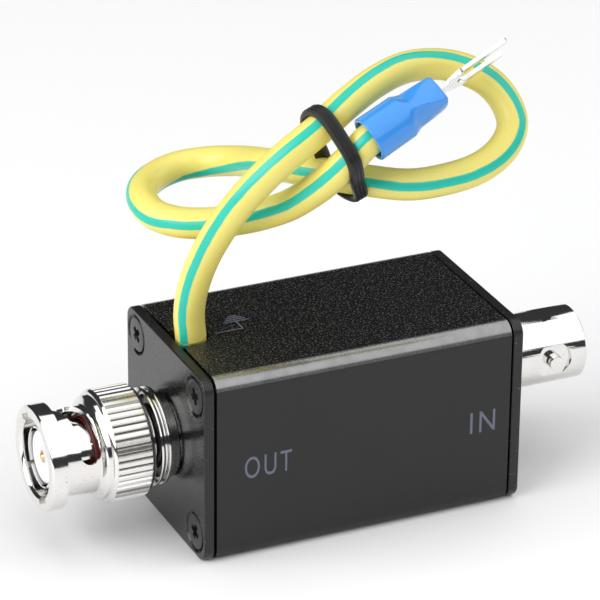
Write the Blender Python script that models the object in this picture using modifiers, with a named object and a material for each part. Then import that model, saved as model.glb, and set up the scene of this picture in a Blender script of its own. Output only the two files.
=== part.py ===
"""Coaxial lightning arrestor: an extruded aluminium box with a bayonet plug at one end,
a bayonet jack at the other, and an earth lead with a fork terminal out of its top.

Metres, +Z up. X runs along the connectors: the plug (OUT) points to -X and the jack (IN)
to +X. The front face is at -Y. The origin is the middle of the box's bottom face.
"""
from math import acos, atan2, cos, pi, radians, sin

import bmesh
import bpy
from mathutils import Matrix, Vector

MM = 0.001

# Clearances
SEAT_GAP = 0.3 * MM          # between pieces that rest on or pass through each other
FINE_GAP = 0.12 * MM         # round a pin or a gasket, where the real fit is tighter

# Box: an extruded tube between two end plates
BOX_WIDTH = 25.0 * MM        # along Y
BOX_HEIGHT = 25.0 * MM       # along Z
TUBE_LENGTH = 40.0 * MM
TUBE_WALL = 1.5 * MM
CORNER_RADIUS = 1.9 * MM
INNER_RADIUS = 0.8 * MM
PLATE_THICKNESS = 1.35 * MM
PORT_WALL = 0.85 * MM        # wall round a screw port
RAIL_DEPTH = 1.1 * MM        # the ribs that the circuit board slides between
RAIL_HEIGHT = 0.9 * MM

# Screws: countersunk, cross recess, four at each end
SCREW_INSET = 3.16 * MM      # from the box's outer faces to a screw's axis
SHANK_RADIUS = 1.15 * MM
HEAD_RADIUS = 2.25 * MM
SINK_RADIUS = 2.7 * MM       # mouth of the countersink
SCREW_LENGTH = 9.0 * MM
RECESS_WIDTH = 0.55 * MM
RECESS_SPAN = 2.7 * MM
RECESS_DEPTH = 0.75 * MM

# Connector axes
PLUG_HEIGHT = BOX_HEIGHT / 2
JACK_RISE = 1.8 * MM         # the jack sits this much above the middle
TAIL_RADIUS = 4.7 * MM       # the threaded tail that goes through an end plate
TAIL_LENGTH = 4.9 * MM       # its reach behind the plate's outer face
WASHER_RADIUS = 7.0 * MM
WASHER_THICKNESS = 0.5 * MM
NUT_FLATS = 12.0 * MM
NUT_THICKNESS = 2.0 * MM

# Plug: heights are measured outwards from the end plate's outer face
NOSE_HEIGHT = 17.45 * MM     # front face of the coupling nut
NOSE_RADIUS = 6.7 * MM
NOSE_LENGTH = 2.15 * MM      # thick ring at the nut's mouth
BARREL_RADIUS = 5.5 * MM
MATING_BORE = 4.9 * MM       # bore that slides over a jack
COLLAR_RADIUS = 6.55 * MM
COLLAR_FRONT = 10.15 * MM
KNURL_RADIUS = 7.15 * MM
KNURL_FRONT = 9.15 * MM
KNURL_REAR = 4.5 * MM
KNURL_COUNT = 48
KNURL_DEPTH = 0.3 * MM
NUT_REAR = 3.9 * MM          # rear face of the coupling nut
CAVITY_RADIUS = 5.6 * MM     # room for the flange and washers
CAVITY_FRONT = 10.4 * MM
RING_GROOVE_RADIUS = 6.1 * MM
RING_GROOVE_REAR = 4.45 * MM
RING_THICKNESS = 0.95 * MM
SHELL_RADIUS = 4.0 * MM      # outer contact
SHELL_BORE = 3.65 * MM
SHELL_FRONT = 16.75 * MM
SHELL_SLIT = 0.45 * MM
SHELL_SLIT_LENGTH = 4.0 * MM
FLANGE_REAR = 7.9 * MM
NECK_RADIUS = 4.3 * MM
REAR_RING_RADIUS = 6.2 * MM
REAR_RING_FRONT = 2.95 * MM
REAR_RING_LENGTH = 1.45 * MM
REAR_GROOVE_DEPTH = 0.6 * MM
SEAT_RADIUS = 5.5 * MM
WASHER_TRAVEL = 0.5 * MM     # how far the coupling nut pulls forward
THRUST_THICKNESS = 0.3 * MM
WAVE_SHEET = 0.2 * MM
WAVE_HEIGHT = 0.15 * MM
WAVE_COUNT = 3
GASKET_LENGTH = 0.8 * MM
PIN_RADIUS = 0.65 * MM
PIN_SETBACK = 0.15 * MM      # pin tip behind the shell's front
DISC_SETBACK = 0.35 * MM     # insulator's face behind the shell's front

# Bayonet slots in the coupling nut, angles from the front face (-Y) towards the top
SLOT_ENTRY = radians(120)
SLOT_END = radians(20)
SLOT_WIDTH = 2.4 * MM
SLOT_START_HEIGHT = 13.8 * MM
SLOT_CURVE = 3               # the slot climbs with this power of its share of the turn
DETENT_RADIUS = 1.3 * MM
DETENT_HEIGHT = 11.9 * MM
CHANNEL_RADIUS = 5.65 * MM   # reach of the entry channel, past a stud's tip

# Jack: heights are measured outwards from the other end plate's outer face
JACK_FRONT = 13.6 * MM
JACK_RADIUS = 4.8 * MM
JACK_BORE = 4.05 * MM
JACK_BORE_DEPTH = 5.2 * MM
JACK_FLANGE_RADIUS = 6.2 * MM
JACK_FLANGE_LENGTH = 1.6 * MM
STUD_HEIGHT = 8.8 * MM
STUD_RADIUS = 0.97 * MM
STUD_REACH = 5.5 * MM        # from the axis to a stud's tip
SPOT_RADIUS = 2.45 * MM      # flat milled round a stud
SPOT_REACH = 4.35 * MM
WAIST_DEPTH = 0.7 * MM       # shallow scallops above and below
WAIST_RADIUS = 3.2 * MM
INSERT_RADIUS = 3.45 * MM    # insulator inside the body
BOSS_RADIUS = 2.35 * MM      # insulator inside the mating bore
BOSS_FRONT = 12.2 * MM
CONTACT_RADIUS = 1.1 * MM
CONTACT_BORE = 0.72 * MM
CONTACT_DEPTH = 3.5 * MM

# Circuit board and what it carries
BOARD_THICKNESS = 1.5 * MM
BOARD_END_GAP = 0.55 * MM    # from a connector's tail to the board's edge
TAIL_PIN_RADIUS = 0.5 * MM   # solder tails of the centre contacts
TAIL_PIN_REACH = 7.8 * MM
TUBE_BODY_RADIUS = 2.6 * MM  # gas discharge tube
TUBE_CAP_RADIUS = 2.8 * MM
TUBE_BODY_LENGTH = 6.0 * MM
DIODE_RADIUS = 1.3 * MM
DIODE_LENGTH = 5.2 * MM
RESISTOR_RADIUS = 1.15 * MM
RESISTOR_LENGTH = 6.0 * MM
CHOKE_RADIUS = 3.0 * MM
CHOKE_HEIGHT = 4.2 * MM
BLOCK_LENGTH = 4.4 * MM
BLOCK_WIDTH = 3.6 * MM
BLOCK_HEIGHT = 2.2 * MM
BOARD_MARGIN = 2.3 * MM      # from the board's long edges to its components
COMPONENT_GAP = 1.2 * MM     # from one component to the next along the board

# Earth lead
WIRE_DIAMETER = 3.9 * MM
WIRE_INSET = 1.95 * MM       # from the tube's end to the lead's axis
WIRE_Y = 0.3 * MM
CORE_RADIUS = 1.1 * MM       # conductor, stripped of its insulation inside the box
STRIP_REACH = 0.5 * MM       # insulation left below the top wall
TIE_THICKNESS = 1.2 * MM
TIE_GAP = 0.4 * MM           # the strands bend inside the tie

# Route of the lead outside the box, in millimetres, from the hole to the terminal's mouth
ROUTE = [
    (-18.05, 0.3, 25.0), (-18.25, 0.35, 28.6), (-18.3, 0.0, 31.3), (-18.1, -0.7, 33.5),
    (-17.2, -2.2, 37.0), (-15.8, -4.3, 41.4), (-14.4, -5.9, 45.3), (-11.9, -7.4, 48.5),
    (-8.9, -8.3, 51.3),
    (-5.4, -8.7, 53.9), (-1.4, -8.2, 56.5), (3.0, -7.1, 58.3), (7.3, -6.0, 59.0),
    (11.5, -5.6, 58.7), (15.2, -6.1, 57.7), (18.0, -7.6, 56.1), (19.5, -9.4, 53.9),
    (19.6, -11.2, 51.5), (17.8, -12.4, 49.2), (14.5, -12.8, 47.4), (10.4, -12.3, 46.4),
    (5.8, -11.2, 46.0), (1.4, -8.8, 46.3), (-2.1, -5.6, 46.4), (-4.4, -0.3, 45.5),
    (-5.9, 5.2, 44.2), (-6.1, 10.3, 42.5), (-7.0, 13.6, 41.4), (-9.3, 16.2, 40.6),
    (-12.6, 17.3, 40.1), (-16.0, 16.3, 39.8), (-18.8, 13.8, 39.6), (-20.1, 10.4, 39.3),
    (-19.8, 7.1, 38.9), (-18.0, 4.3, 38.8), (-15.2, 2.0, 39.1), (-12.2, -0.3, 40.0),
    (-9.7, -2.5, 41.2), (-7.3, -5.0, 43.0), (-5.7, -8.0, 45.7), (-4.1, -10.3, 48.4),
    (-2.5, -11.9, 51.0), (-0.47, -12.64, 53.44), (1.43, -12.53, 54.33), (3.68, -12.39, 55.4),
]
TERMINAL_MOUTH = (-0.47, -12.64, 53.44)
TERMINAL_AXIS = Vector((0.9025, 0.0533, 0.4274)).normalized()
TERMINAL_SIDE = Vector((-0.2609, -0.722, 0.6408))  # from one prong towards the other
SLEEVE_LENGTH = 10.7 * MM
SLEEVE_MOUTH_RADIUS = 2.9 * MM
SLEEVE_RADIUS = 2.5 * MM
FUNNEL_LENGTH = 2.5 * MM
TERMINAL_BARREL_RADIUS = 1.7 * MM
TERMINAL_LENGTH = 20.0 * MM
FORK_WIDTH = 6.4 * MM
FORK_SLOT = 4.3 * MM
FORK_THICKNESS = 0.8 * MM

# Strands inside the tie: a point on each, in millimetres, and the way that it runs there
TIED = [((-5.05, -8.69, 54.15), (0.819, 0.034, 0.573)),
        ((-3.18, -11.35, 49.96), (0.462, -0.454, 0.762)),
        ((-0.81, -7.09, 46.44), (-0.727, 0.686, 0.025))]
TIE_DIRECTION = Vector((0.8824, -0.104, 0.4589)).normalized()

# Worked out from the sizes above
PLATE_OUTER_X = TUBE_LENGTH / 2 + SEAT_GAP + PLATE_THICKNESS
PLATE_HOLE = TAIL_RADIUS + SEAT_GAP
JACK_Z = PLUG_HEIGHT + JACK_RISE
WIRE_RADIUS = WIRE_DIAMETER / 2
BOARD_TOP = PLUG_HEIGHT - TAIL_PIN_RADIUS - SEAT_GAP
BOARD_HALF = PLATE_OUTER_X - TAIL_LENGTH - BOARD_END_GAP
BOARD_SIDE = BOX_WIDTH / 2 - TUBE_WALL - SEAT_GAP
COMPONENT_SIDE = BOARD_SIDE - BOARD_MARGIN
CAVITY_HALF_Y = BOX_WIDTH / 2 - TUBE_WALL
WIRE_X = WIRE_INSET - TUBE_LENGTH / 2
CORE_FOOT_X = TAIL_PIN_REACH + SEAT_GAP + CORE_RADIUS + 0.6 * MM - PLATE_OUTER_X
LEAD_SHIFT = Vector((WIRE_X, WIRE_Y, BOX_HEIGHT)) - Vector(ROUTE[0]) * MM
NUT_SEAT = -PLATE_THICKNESS - 2 * SEAT_GAP - WASHER_THICKNESS
SCREW_SEAT = SCREW_INSET

scene = bpy.context.scene


def start_empty():
    for obj in list(bpy.data.objects):
        bpy.data.objects.remove(obj, do_unlink=True)
    parts = bpy.data.collections.new("coax_lightning_arrestor")
    cutters = bpy.data.collections.new("cutters")
    scene.collection.children.link(parts)
    scene.collection.children.link(cutters)
    return parts, cutters


PARTS, CUTTERS = start_empty()


def material(name, colour, roughness, metallic):
    mat = bpy.data.materials.new(name)
    mat.use_nodes = True
    shader = mat.node_tree.nodes["Principled BSDF"]
    shader.inputs["Base Color"].default_value = (*colour, 1.0)
    shader.inputs["Roughness"].default_value = roughness
    shader.inputs["Metallic"].default_value = metallic
    return mat


BLACK_ANODISED = material("black_anodised", (0.020, 0.020, 0.022), 0.45, 0.6)
BLACK_SCREW = material("black_screw", (0.012, 0.012, 0.013), 0.35, 0.8)
NICKEL = material("bright_nickel", (0.80, 0.79, 0.77), 0.12, 1.0)
GOLD = material("gold_plate", (0.83, 0.60, 0.22), 0.2, 1.0)
SPRING_STEEL = material("spring_steel", (0.45, 0.45, 0.46), 0.3, 1.0)
WHITE_INSULATOR = material("white_insulator", (0.80, 0.80, 0.80), 0.5, 0.0)
RED_RUBBER = material("red_rubber", (0.25, 0.03, 0.02), 0.6, 0.0)
BOARD_GREEN = material("board_green", (0.02, 0.16, 0.06), 0.4, 0.0)
CERAMIC = material("ceramic", (0.80, 0.78, 0.74), 0.4, 0.0)
EPOXY_BLACK = material("epoxy_black", (0.02, 0.02, 0.02), 0.5, 0.0)
EARTH_YELLOW = material("earth_yellow", (0.85, 0.75, 0.12), 0.4, 0.0)
TIE_BLACK = material("tie_black", (0.015, 0.015, 0.016), 0.5, 0.0)
SLEEVE_BLUE = material("sleeve_blue", (0.03, 0.25, 0.80), 0.3, 0.0)
TINNED_COPPER = material("tinned_copper", (0.75, 0.75, 0.74), 0.2, 1.0)


def place(name, mesh, mat=None, parent=None):
    """An object for a piece, or for a cutter when it has no material."""
    obj = bpy.data.objects.new(name, mesh)
    if mat is None:
        CUTTERS.objects.link(obj)
        obj.hide_render = True
        obj.display_type = "WIRE"
    else:
        PARTS.objects.link(obj)
        mesh.materials.clear()
        mesh.materials.append(mat)
    obj.parent = parent
    return obj


def mesh_of(name, build):
    """A mesh made by a function that fills a bmesh."""
    bm = bmesh.new()
    build(bm)
    mesh = bpy.data.meshes.new(name)
    bm.to_mesh(mesh)
    bm.free()
    return mesh


def shade(mesh, angle=radians(35)):
    mesh.shade_smooth()
    mesh.set_sharp_from_angle(angle=angle)


def box(name, size, centre, mat=None, parent=None, bevel=0.0, bevel_axis=None, segments=3):
    """A box, with the edges along one axis (or all of them) rounded."""
    def build(bm):
        scale = Matrix.Diagonal((*size, 1.0))
        bmesh.ops.create_cube(bm, size=1.0, matrix=Matrix.Translation(centre) @ scale)
        if bevel:
            edges = [e for e in bm.edges if bevel_axis is None
                     or abs((e.verts[0].co - e.verts[1].co).normalized()[bevel_axis]) > 0.9]
            bmesh.ops.bevel(bm, geom=edges, offset=bevel, segments=segments,
                            affect="EDGES", profile=0.5)
    return place(name, mesh_of(name, build), mat, parent)


def rod(name, radius, start, end, mat=None, parent=None, sides=32, end_radius=None):
    """A cylinder or cone from one point to another."""
    start, end = Vector(start), Vector(end)
    turn = (end - start).to_track_quat("Z", "Y").to_matrix().to_4x4()

    def build(bm):
        bmesh.ops.create_cone(bm, cap_ends=True, segments=sides, radius1=radius,
                              radius2=radius if end_radius is None else end_radius,
                              depth=(end - start).length,
                              matrix=Matrix.Translation((start + end) / 2) @ turn)
    return place(name, mesh_of(name, build), mat, parent)


def turned(name, outline, mat=None, parent=None, sides=48, ring=True):
    """A turned piece from (radius, height) points, down the outside and up the inside.

    A ring's outline closes on itself. Another runs from the axis back to the axis.
    """
    mesh = bpy.data.meshes.new(name)
    last = len(outline)
    edges = [(i, (i + 1) % last) for i in range(last if ring else last - 1)]
    mesh.from_pydata([(r, 0.0, h) for r, h in outline], edges, [])
    obj = place(name, mesh, mat, parent)
    screw = obj.modifiers.new("turn", "SCREW")
    screw.axis = "Z"
    screw.angle = 2 * pi
    screw.steps = sides
    screw.render_steps = sides
    screw.use_merge_vertices = True
    screw.merge_threshold = 1e-6
    screw.use_smooth_shade = True
    return obj


def combine(obj, tool, operation="DIFFERENCE"):
    mod = obj.modifiers.new(tool.name, "BOOLEAN")
    mod.operation = operation
    mod.solver = "EXACT"
    mod.object = tool


def frame(name, origin, x_axis, z_axis):
    """An empty whose Z runs along a piece's axis."""
    x_axis, z_axis = Vector(x_axis).normalized(), Vector(z_axis).normalized()
    y_axis = z_axis.cross(x_axis)
    empty = bpy.data.objects.new(name, None)
    CUTTERS.objects.link(empty)
    turn = Matrix((x_axis, y_axis, z_axis)).transposed()
    empty.location = origin
    empty.rotation_euler = turn.to_euler()
    return empty


def smooth_path(points, spacing):
    """Evenly spaced points on a Catmull-Rom curve through the given ones."""
    pts = [Vector(p) for p in points]
    pts = [2 * pts[0] - pts[1]] + pts + [2 * pts[-1] - pts[-2]]
    fine = []
    for a, b, c, d in zip(pts, pts[1:], pts[2:], pts[3:]):
        for i in range(16):
            t = i / 16
            fine.append(0.5 * (2 * b + (c - a) * t + (2 * a - 5 * b + 4 * c - d) * t * t
                               + (3 * b - a - 3 * c + d) * t ** 3))
    fine.append(pts[-2])
    length = sum((q - p).length for p, q in zip(fine, fine[1:]))
    step = length / max(1, round(length / spacing))
    out, walked, target = [fine[0]], 0.0, step
    for p, q in zip(fine, fine[1:]):
        run = (q - p).length
        while walked + run >= target - 1e-9 and target < length - step / 2:
            out.append(p.lerp(q, (target - walked) / run))
            target += step
        walked += run
    out.append(fine[-1])
    return out


def tube(name, points, radius, mat, closed=False, resolution=2):
    """A round tube along points: a poly curve with a bevel and filled caps."""
    curve = bpy.data.curves.new(name, "CURVE")
    curve.dimensions = "3D"
    curve.bevel_depth = radius
    curve.bevel_resolution = resolution
    curve.use_fill_caps = True
    spline = curve.splines.new("POLY")
    spline.points.add(len(points) - 1)
    for point, co in zip(spline.points, points):
        point.co = (*co, 1.0)
    spline.use_cyclic_u = closed
    curve.materials.append(mat)
    obj = bpy.data.objects.new(name, curve)
    PARTS.objects.link(obj)
    return obj


def as_mesh(curve_obj):
    """The mesh that a curve object stands for, closed and turned outwards."""
    bpy.context.view_layer.update()
    graph = bpy.context.evaluated_depsgraph_get()
    mesh = bpy.data.meshes.new_from_object(curve_obj.evaluated_get(graph))
    bpy.data.objects.remove(curve_obj, do_unlink=True)
    bm = bmesh.new()
    bm.from_mesh(mesh)
    bmesh.ops.remove_doubles(bm, verts=bm.verts, dist=1e-6)
    bmesh.ops.recalc_face_normals(bm, faces=bm.faces)
    bm.to_mesh(mesh)
    bm.free()
    return mesh


def plate_outline_screws():
    """The four screw places in an end plate, seen from the box's middle."""
    y, z = BOX_WIDTH / 2 - SCREW_INSET, BOX_HEIGHT / 2 - SCREW_INSET
    return [(sy * y, BOX_HEIGHT / 2 + sz * z) for sz in (1, -1) for sy in (-1, 1)]


def housing():
    """Extruded tube with screw ports in its corners and rails for the board."""
    centre = (0, 0, BOX_HEIGHT / 2)
    obj = box("housing", (TUBE_LENGTH, BOX_WIDTH, BOX_HEIGHT), centre, BLACK_ANODISED,
              bevel=CORNER_RADIUS, bevel_axis=0, segments=5)
    inside = (TUBE_LENGTH + 2 * MM, BOX_WIDTH - 2 * TUBE_WALL, BOX_HEIGHT - 2 * TUBE_WALL)
    combine(obj, box("cavity_cut", inside, centre, bevel=INNER_RADIUS, bevel_axis=0))
    half = TUBE_LENGTH / 2 - 0.05 * MM
    bore = SHANK_RADIUS + SEAT_GAP
    for i, (y, z) in enumerate(plate_outline_screws(), 1):
        combine(obj, rod(f"port_{i}", bore + PORT_WALL, (-half, y, z), (half, y, z), sides=20),
                "UNION")
    rail = (2 * half, RAIL_DEPTH + TUBE_WALL / 2, RAIL_HEIGHT)
    under = BOARD_TOP - BOARD_THICKNESS - SEAT_GAP - RAIL_HEIGHT / 2
    over = BOARD_TOP + SEAT_GAP + RAIL_HEIGHT / 2
    for side in (-1, 1):
        y = side * (CAVITY_HALF_Y + TUBE_WALL / 2 - rail[1] / 2)
        combine(obj, box(f"rail_under_{side}", rail, (0, y, under)), "UNION")
        combine(obj, box(f"rail_over_{side}", rail, (0, y, over)), "UNION")
    reach = TUBE_LENGTH / 2 + 1 * MM
    for i, (y, z) in enumerate(plate_outline_screws(), 1):
        combine(obj, rod(f"port_bore_{i}", bore, (-reach, y, z), (reach, y, z), sides=16))
    # The lead leaves through a notch in the top wall, closed by the end plate
    notch = WIRE_RADIUS + SEAT_GAP
    low, high = BOX_HEIGHT - 2 * TUBE_WALL, BOX_HEIGHT + 1 * MM
    combine(obj, rod("lead_hole", notch, (WIRE_X, WIRE_Y, low), (WIRE_X, WIRE_Y, high), sides=32))
    run = WIRE_X + TUBE_LENGTH / 2 + 1 * MM
    combine(obj, box("lead_notch", (run, 2 * notch, high - low),
                     (WIRE_X - run / 2, WIRE_Y, (low + high) / 2)))
    shade(obj.data)
    return obj


def end_plate(name, side, hole_z):
    """A flat plate with a hole for a connector and four countersinks."""
    x = side * (PLATE_OUTER_X - PLATE_THICKNESS / 2)
    obj = box(name, (PLATE_THICKNESS, BOX_WIDTH, BOX_HEIGHT), (x, 0, BOX_HEIGHT / 2),
              BLACK_ANODISED, bevel=CORNER_RADIUS, bevel_axis=0, segments=5)
    inner, outer = side * (TUBE_LENGTH / 2 - 1 * MM), side * (PLATE_OUTER_X + 1 * MM)
    combine(obj, rod(f"{name}_hole", PLATE_HOLE, (inner, 0, hole_z), (outer, 0, hole_z), sides=40))
    face = side * PLATE_OUTER_X
    for i, (y, z) in enumerate(plate_outline_screws(), 1):
        combine(obj, rod(f"{name}_sink_{i}", SINK_RADIUS - 2 * MM, (face - side * 2 * MM, y, z),
                         (face + side * 1 * MM, y, z), sides=20, end_radius=SINK_RADIUS + 1 * MM))
        combine(obj, rod(f"{name}_through_{i}", SHANK_RADIUS + SEAT_GAP, (inner, y, z),
                         (outer, y, z), sides=16))
    shade(obj.data)
    return obj


def screw_mesh():
    """One countersunk screw along +Z, its head just under the plate's face at height 0."""
    lift = SEAT_GAP * 2 ** 0.5
    head_top = -(SINK_RADIUS - lift - HEAD_RADIUS)
    neck = head_top - (HEAD_RADIUS - SHANK_RADIUS)
    tip = head_top - SCREW_LENGTH
    outline = [(0, head_top), (HEAD_RADIUS, head_top), (SHANK_RADIUS, neck),
               (SHANK_RADIUS, tip + 0.8 * MM), (0.4 * SHANK_RADIUS, tip), (0, tip)]
    obj = turned("screw_pattern", outline, BLACK_SCREW, sides=16, ring=False)
    centre = (0, 0, head_top - RECESS_DEPTH / 2 + 0.5 * MM)
    long_way = (RECESS_SPAN, RECESS_WIDTH, RECESS_DEPTH + 1 * MM)
    combine(obj, box("recess_a", long_way, centre))
    combine(obj, box("recess_b", (long_way[1], long_way[0], long_way[2]), centre))
    bpy.context.view_layer.update()
    graph = bpy.context.evaluated_depsgraph_get()
    mesh = bpy.data.meshes.new_from_object(obj.evaluated_get(graph))
    for name in ("screw_pattern", "recess_a", "recess_b"):
        bpy.data.objects.remove(bpy.data.objects[name], do_unlink=True)
    return mesh


def screws(prefix, side, mesh):
    for i, (y, z) in enumerate(plate_outline_screws(), 1):
        obj = place(f"{prefix}_screw_{i}", mesh, BLACK_SCREW)
        obj.location = (side * PLATE_OUTER_X, y, z)
        spin = Matrix.Rotation(radians(23 * i), 3, "Z")
        obj.rotation_euler = (Matrix.Rotation(side * pi / 2, 3, "Y") @ spin).to_euler()


def slot_cutter(name, parent, turn):
    """The curved part of a bayonet slot, from the detent up to its entry."""
    steps = 16
    inner, outer = MATING_BORE - 0.6 * MM, KNURL_RADIUS + 0.6 * MM
    sweep = SLOT_ENTRY - SLOT_END
    climb = SLOT_START_HEIGHT - DETENT_HEIGHT

    def build(bm):
        rings = []
        for i in range(steps + 1):
            share = i / steps
            angle = SLOT_END + share * sweep + turn
            height = DETENT_HEIGHT + climb * share ** SLOT_CURVE
            slope = SLOT_CURVE * climb * share ** (SLOT_CURVE - 1) / (sweep * BARREL_RADIUS)
            half = SLOT_WIDTH / 2 * (1 + slope ** 2) ** 0.5
            rings.append([bm.verts.new((r * cos(angle), r * sin(angle), height + side * half))
                          for r, side in ((inner, -1), (outer, -1), (outer, 1), (inner, 1))])
        for low, high in zip(rings, rings[1:]):
            for a in range(4):
                b = (a + 1) % 4
                bm.faces.new((low[a], low[b], high[b], high[a]))
        bm.faces.new(rings[0])
        bm.faces.new(rings[-1])
        bmesh.ops.recalc_face_normals(bm, faces=bm.faces)
    return place(name, mesh_of(name, build), None, parent)


def knurl_cutter(parent):
    """A ring of three-sided prisms that cut the grooves of the grip."""
    reach = KNURL_RADIUS - KNURL_DEPTH
    size = 0.55 * MM

    def build(bm):
        for i in range(KNURL_COUNT):
            angle = 2 * pi * i / KNURL_COUNT
            spin = Matrix.Rotation(angle, 4, "Z")
            point_in = Matrix.Rotation(pi / 2, 4, "Z")
            move = Matrix.Translation((reach + size, 0, (KNURL_FRONT + KNURL_REAR) / 2))
            bmesh.ops.create_cone(bm, cap_ends=True, segments=3, radius1=size, radius2=size,
                                  depth=KNURL_FRONT - KNURL_REAR, matrix=spin @ move @ point_in)
    return place("knurl_cut", mesh_of("knurl_cut", build), None, parent)


def coupling_nut(axis):
    """Bayonet nut: thick mouth, slotted barrel, knurled grip, rear cavity with a ring groove."""
    mouth = NOSE_HEIGHT - NOSE_LENGTH
    groove_top = RING_GROOVE_REAR + RING_THICKNESS + 2 * SEAT_GAP
    outline = [
        (NOSE_RADIUS - 0.3 * MM, NOSE_HEIGHT), (NOSE_RADIUS, NOSE_HEIGHT - 0.3 * MM),
        (NOSE_RADIUS, mouth),
        (BARREL_RADIUS, mouth), (BARREL_RADIUS, COLLAR_FRONT + 0.5 * MM),
        (COLLAR_RADIUS - 0.3 * MM, COLLAR_FRONT + 0.1 * MM), (COLLAR_RADIUS, COLLAR_FRONT - 0.1 * MM),
        (COLLAR_RADIUS, KNURL_FRONT + 0.35 * MM),
        (KNURL_RADIUS - 0.25 * MM, KNURL_FRONT + 0.25 * MM), (KNURL_RADIUS, KNURL_FRONT),
        (KNURL_RADIUS, KNURL_REAR),
        (KNURL_RADIUS - 0.5 * MM, NUT_REAR), (CAVITY_RADIUS, NUT_REAR),
        (CAVITY_RADIUS, RING_GROOVE_REAR), (RING_GROOVE_RADIUS, RING_GROOVE_REAR),
        (RING_GROOVE_RADIUS, groove_top), (CAVITY_RADIUS, groove_top),
        (CAVITY_RADIUS, CAVITY_FRONT), (MATING_BORE, CAVITY_FRONT),
        (MATING_BORE, NOSE_HEIGHT - 0.35 * MM), (MATING_BORE + 0.35 * MM, NOSE_HEIGHT),
    ]
    obj = turned("coupling_nut", outline, NICKEL, axis, sides=96)
    combine(obj, knurl_cutter(axis))
    for i, turn in enumerate((0.0, pi), 1):
        combine(obj, slot_cutter(f"slot_{i}", axis, turn))
        end = SLOT_END + turn
        far = KNURL_RADIUS + 0.6 * MM
        near = MATING_BORE - 0.7 * MM
        combine(obj, rod(f"detent_{i}", DETENT_RADIUS,
                         (near * cos(end), near * sin(end), DETENT_HEIGHT),
                         (far * cos(end), far * sin(end), DETENT_HEIGHT), None, axis, sides=28))
        low = SLOT_START_HEIGHT - SLOT_WIDTH / 2
        high = NOSE_HEIGHT + 1 * MM
        channel = box(f"channel_{i}", (CHANNEL_RADIUS - near, SLOT_WIDTH, high - low),
                      ((CHANNEL_RADIUS + near) / 2, 0, (high + low) / 2), None, axis)
        channel.rotation_euler = (0, 0, SLOT_ENTRY + turn)
        combine(obj, channel)
    return obj


def retaining_ring(axis):
    low = RING_GROOVE_REAR + SEAT_GAP
    inner, outer = NECK_RADIUS + SEAT_GAP, RING_GROOVE_RADIUS - SEAT_GAP
    high = low + RING_THICKNESS
    obj = turned("retaining_ring", [(outer, high), (outer, low), (inner, low), (inner, high)],
                 SPRING_STEEL, axis, sides=30)
    gap = box("ring_gap", (3 * MM, 1.2 * MM, 3 * MM), (-(inner + outer) / 2, 0, (low + high) / 2),
              None, axis)
    combine(obj, gap)


def thrust_washer(axis):
    low = RING_GROOVE_REAR + 2 * SEAT_GAP + RING_THICKNESS
    inner, outer = NECK_RADIUS + SEAT_GAP, CAVITY_RADIUS - SEAT_GAP
    high = low + THRUST_THICKNESS
    turned("thrust_washer", [(outer, high), (outer, low), (inner, low), (inner, high)],
           SPRING_STEEL, axis, sides=30)


def wave_washer(axis):
    """A thin spring ring with three waves round its circle."""
    steps = 36
    inner, outer = NECK_RADIUS + SEAT_GAP, CAVITY_RADIUS - SEAT_GAP
    middle = FLANGE_REAR - SEAT_GAP - WAVE_HEIGHT - WAVE_SHEET / 2

    def build(bm):
        rings = []
        for i in range(steps):
            angle = 2 * pi * i / steps
            h = middle + WAVE_HEIGHT * sin(WAVE_COUNT * angle)
            rings.append([bm.verts.new((r * cos(angle), r * sin(angle), h + d))
                          for r, d in ((inner, WAVE_SHEET / 2), (outer, WAVE_SHEET / 2),
                                       (outer, -WAVE_SHEET / 2), (inner, -WAVE_SHEET / 2))])
        for a, b in zip(rings, rings[1:] + rings[:1]):
            for j in range(4):
                bm.faces.new((a[j], a[(j + 1) % 4], b[(j + 1) % 4], b[j]))
        bmesh.ops.recalc_face_normals(bm, faces=bm.faces)
    place("wave_washer", mesh_of("wave_washer", build), SPRING_STEEL, axis)


def plug_body(axis):
    """Outer contact, captive flange, neck, grooved rear ring and threaded tail, in one."""
    flange = CAVITY_RADIUS - SEAT_GAP
    ring_rear = REAR_RING_FRONT - REAR_RING_LENGTH
    third = REAR_RING_LENGTH / 3
    flange_front = CAVITY_FRONT - SEAT_GAP
    outline = [
        (SHELL_RADIUS - 0.15 * MM, SHELL_FRONT), (SHELL_RADIUS, SHELL_FRONT - 0.2 * MM),
        (SHELL_RADIUS, flange_front), (flange, flange_front), (flange, FLANGE_REAR),
        (NECK_RADIUS, FLANGE_REAR), (NECK_RADIUS, REAR_RING_FRONT),
        (REAR_RING_RADIUS - 0.15 * MM, REAR_RING_FRONT),
        (REAR_RING_RADIUS, REAR_RING_FRONT - 0.15 * MM),
        (REAR_RING_RADIUS, REAR_RING_FRONT - third),
        (REAR_RING_RADIUS - REAR_GROOVE_DEPTH, REAR_RING_FRONT - third),
        (REAR_RING_RADIUS - REAR_GROOVE_DEPTH, ring_rear + third),
        (REAR_RING_RADIUS, ring_rear + third), (REAR_RING_RADIUS, ring_rear + 0.15 * MM),
        (REAR_RING_RADIUS - 0.15 * MM, ring_rear), (SEAT_RADIUS, ring_rear),
        (SEAT_RADIUS, SEAT_GAP), (TAIL_RADIUS, SEAT_GAP), (TAIL_RADIUS, -TAIL_LENGTH),
        (SHELL_BORE, -TAIL_LENGTH), (SHELL_BORE, SHELL_FRONT),
    ]
    obj = turned("plug_body", outline, NICKEL, axis, sides=40)
    for i in range(2):
        slit = box(f"shell_slit_{i}", (3 * SHELL_RADIUS, SHELL_SLIT, SHELL_SLIT_LENGTH + 1 * MM),
                   (0, 0, SHELL_FRONT + 0.5 * MM - SHELL_SLIT_LENGTH / 2), None, axis)
        slit.rotation_euler = (0, 0, radians(35 + 90 * i))
        combine(obj, slit)


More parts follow.
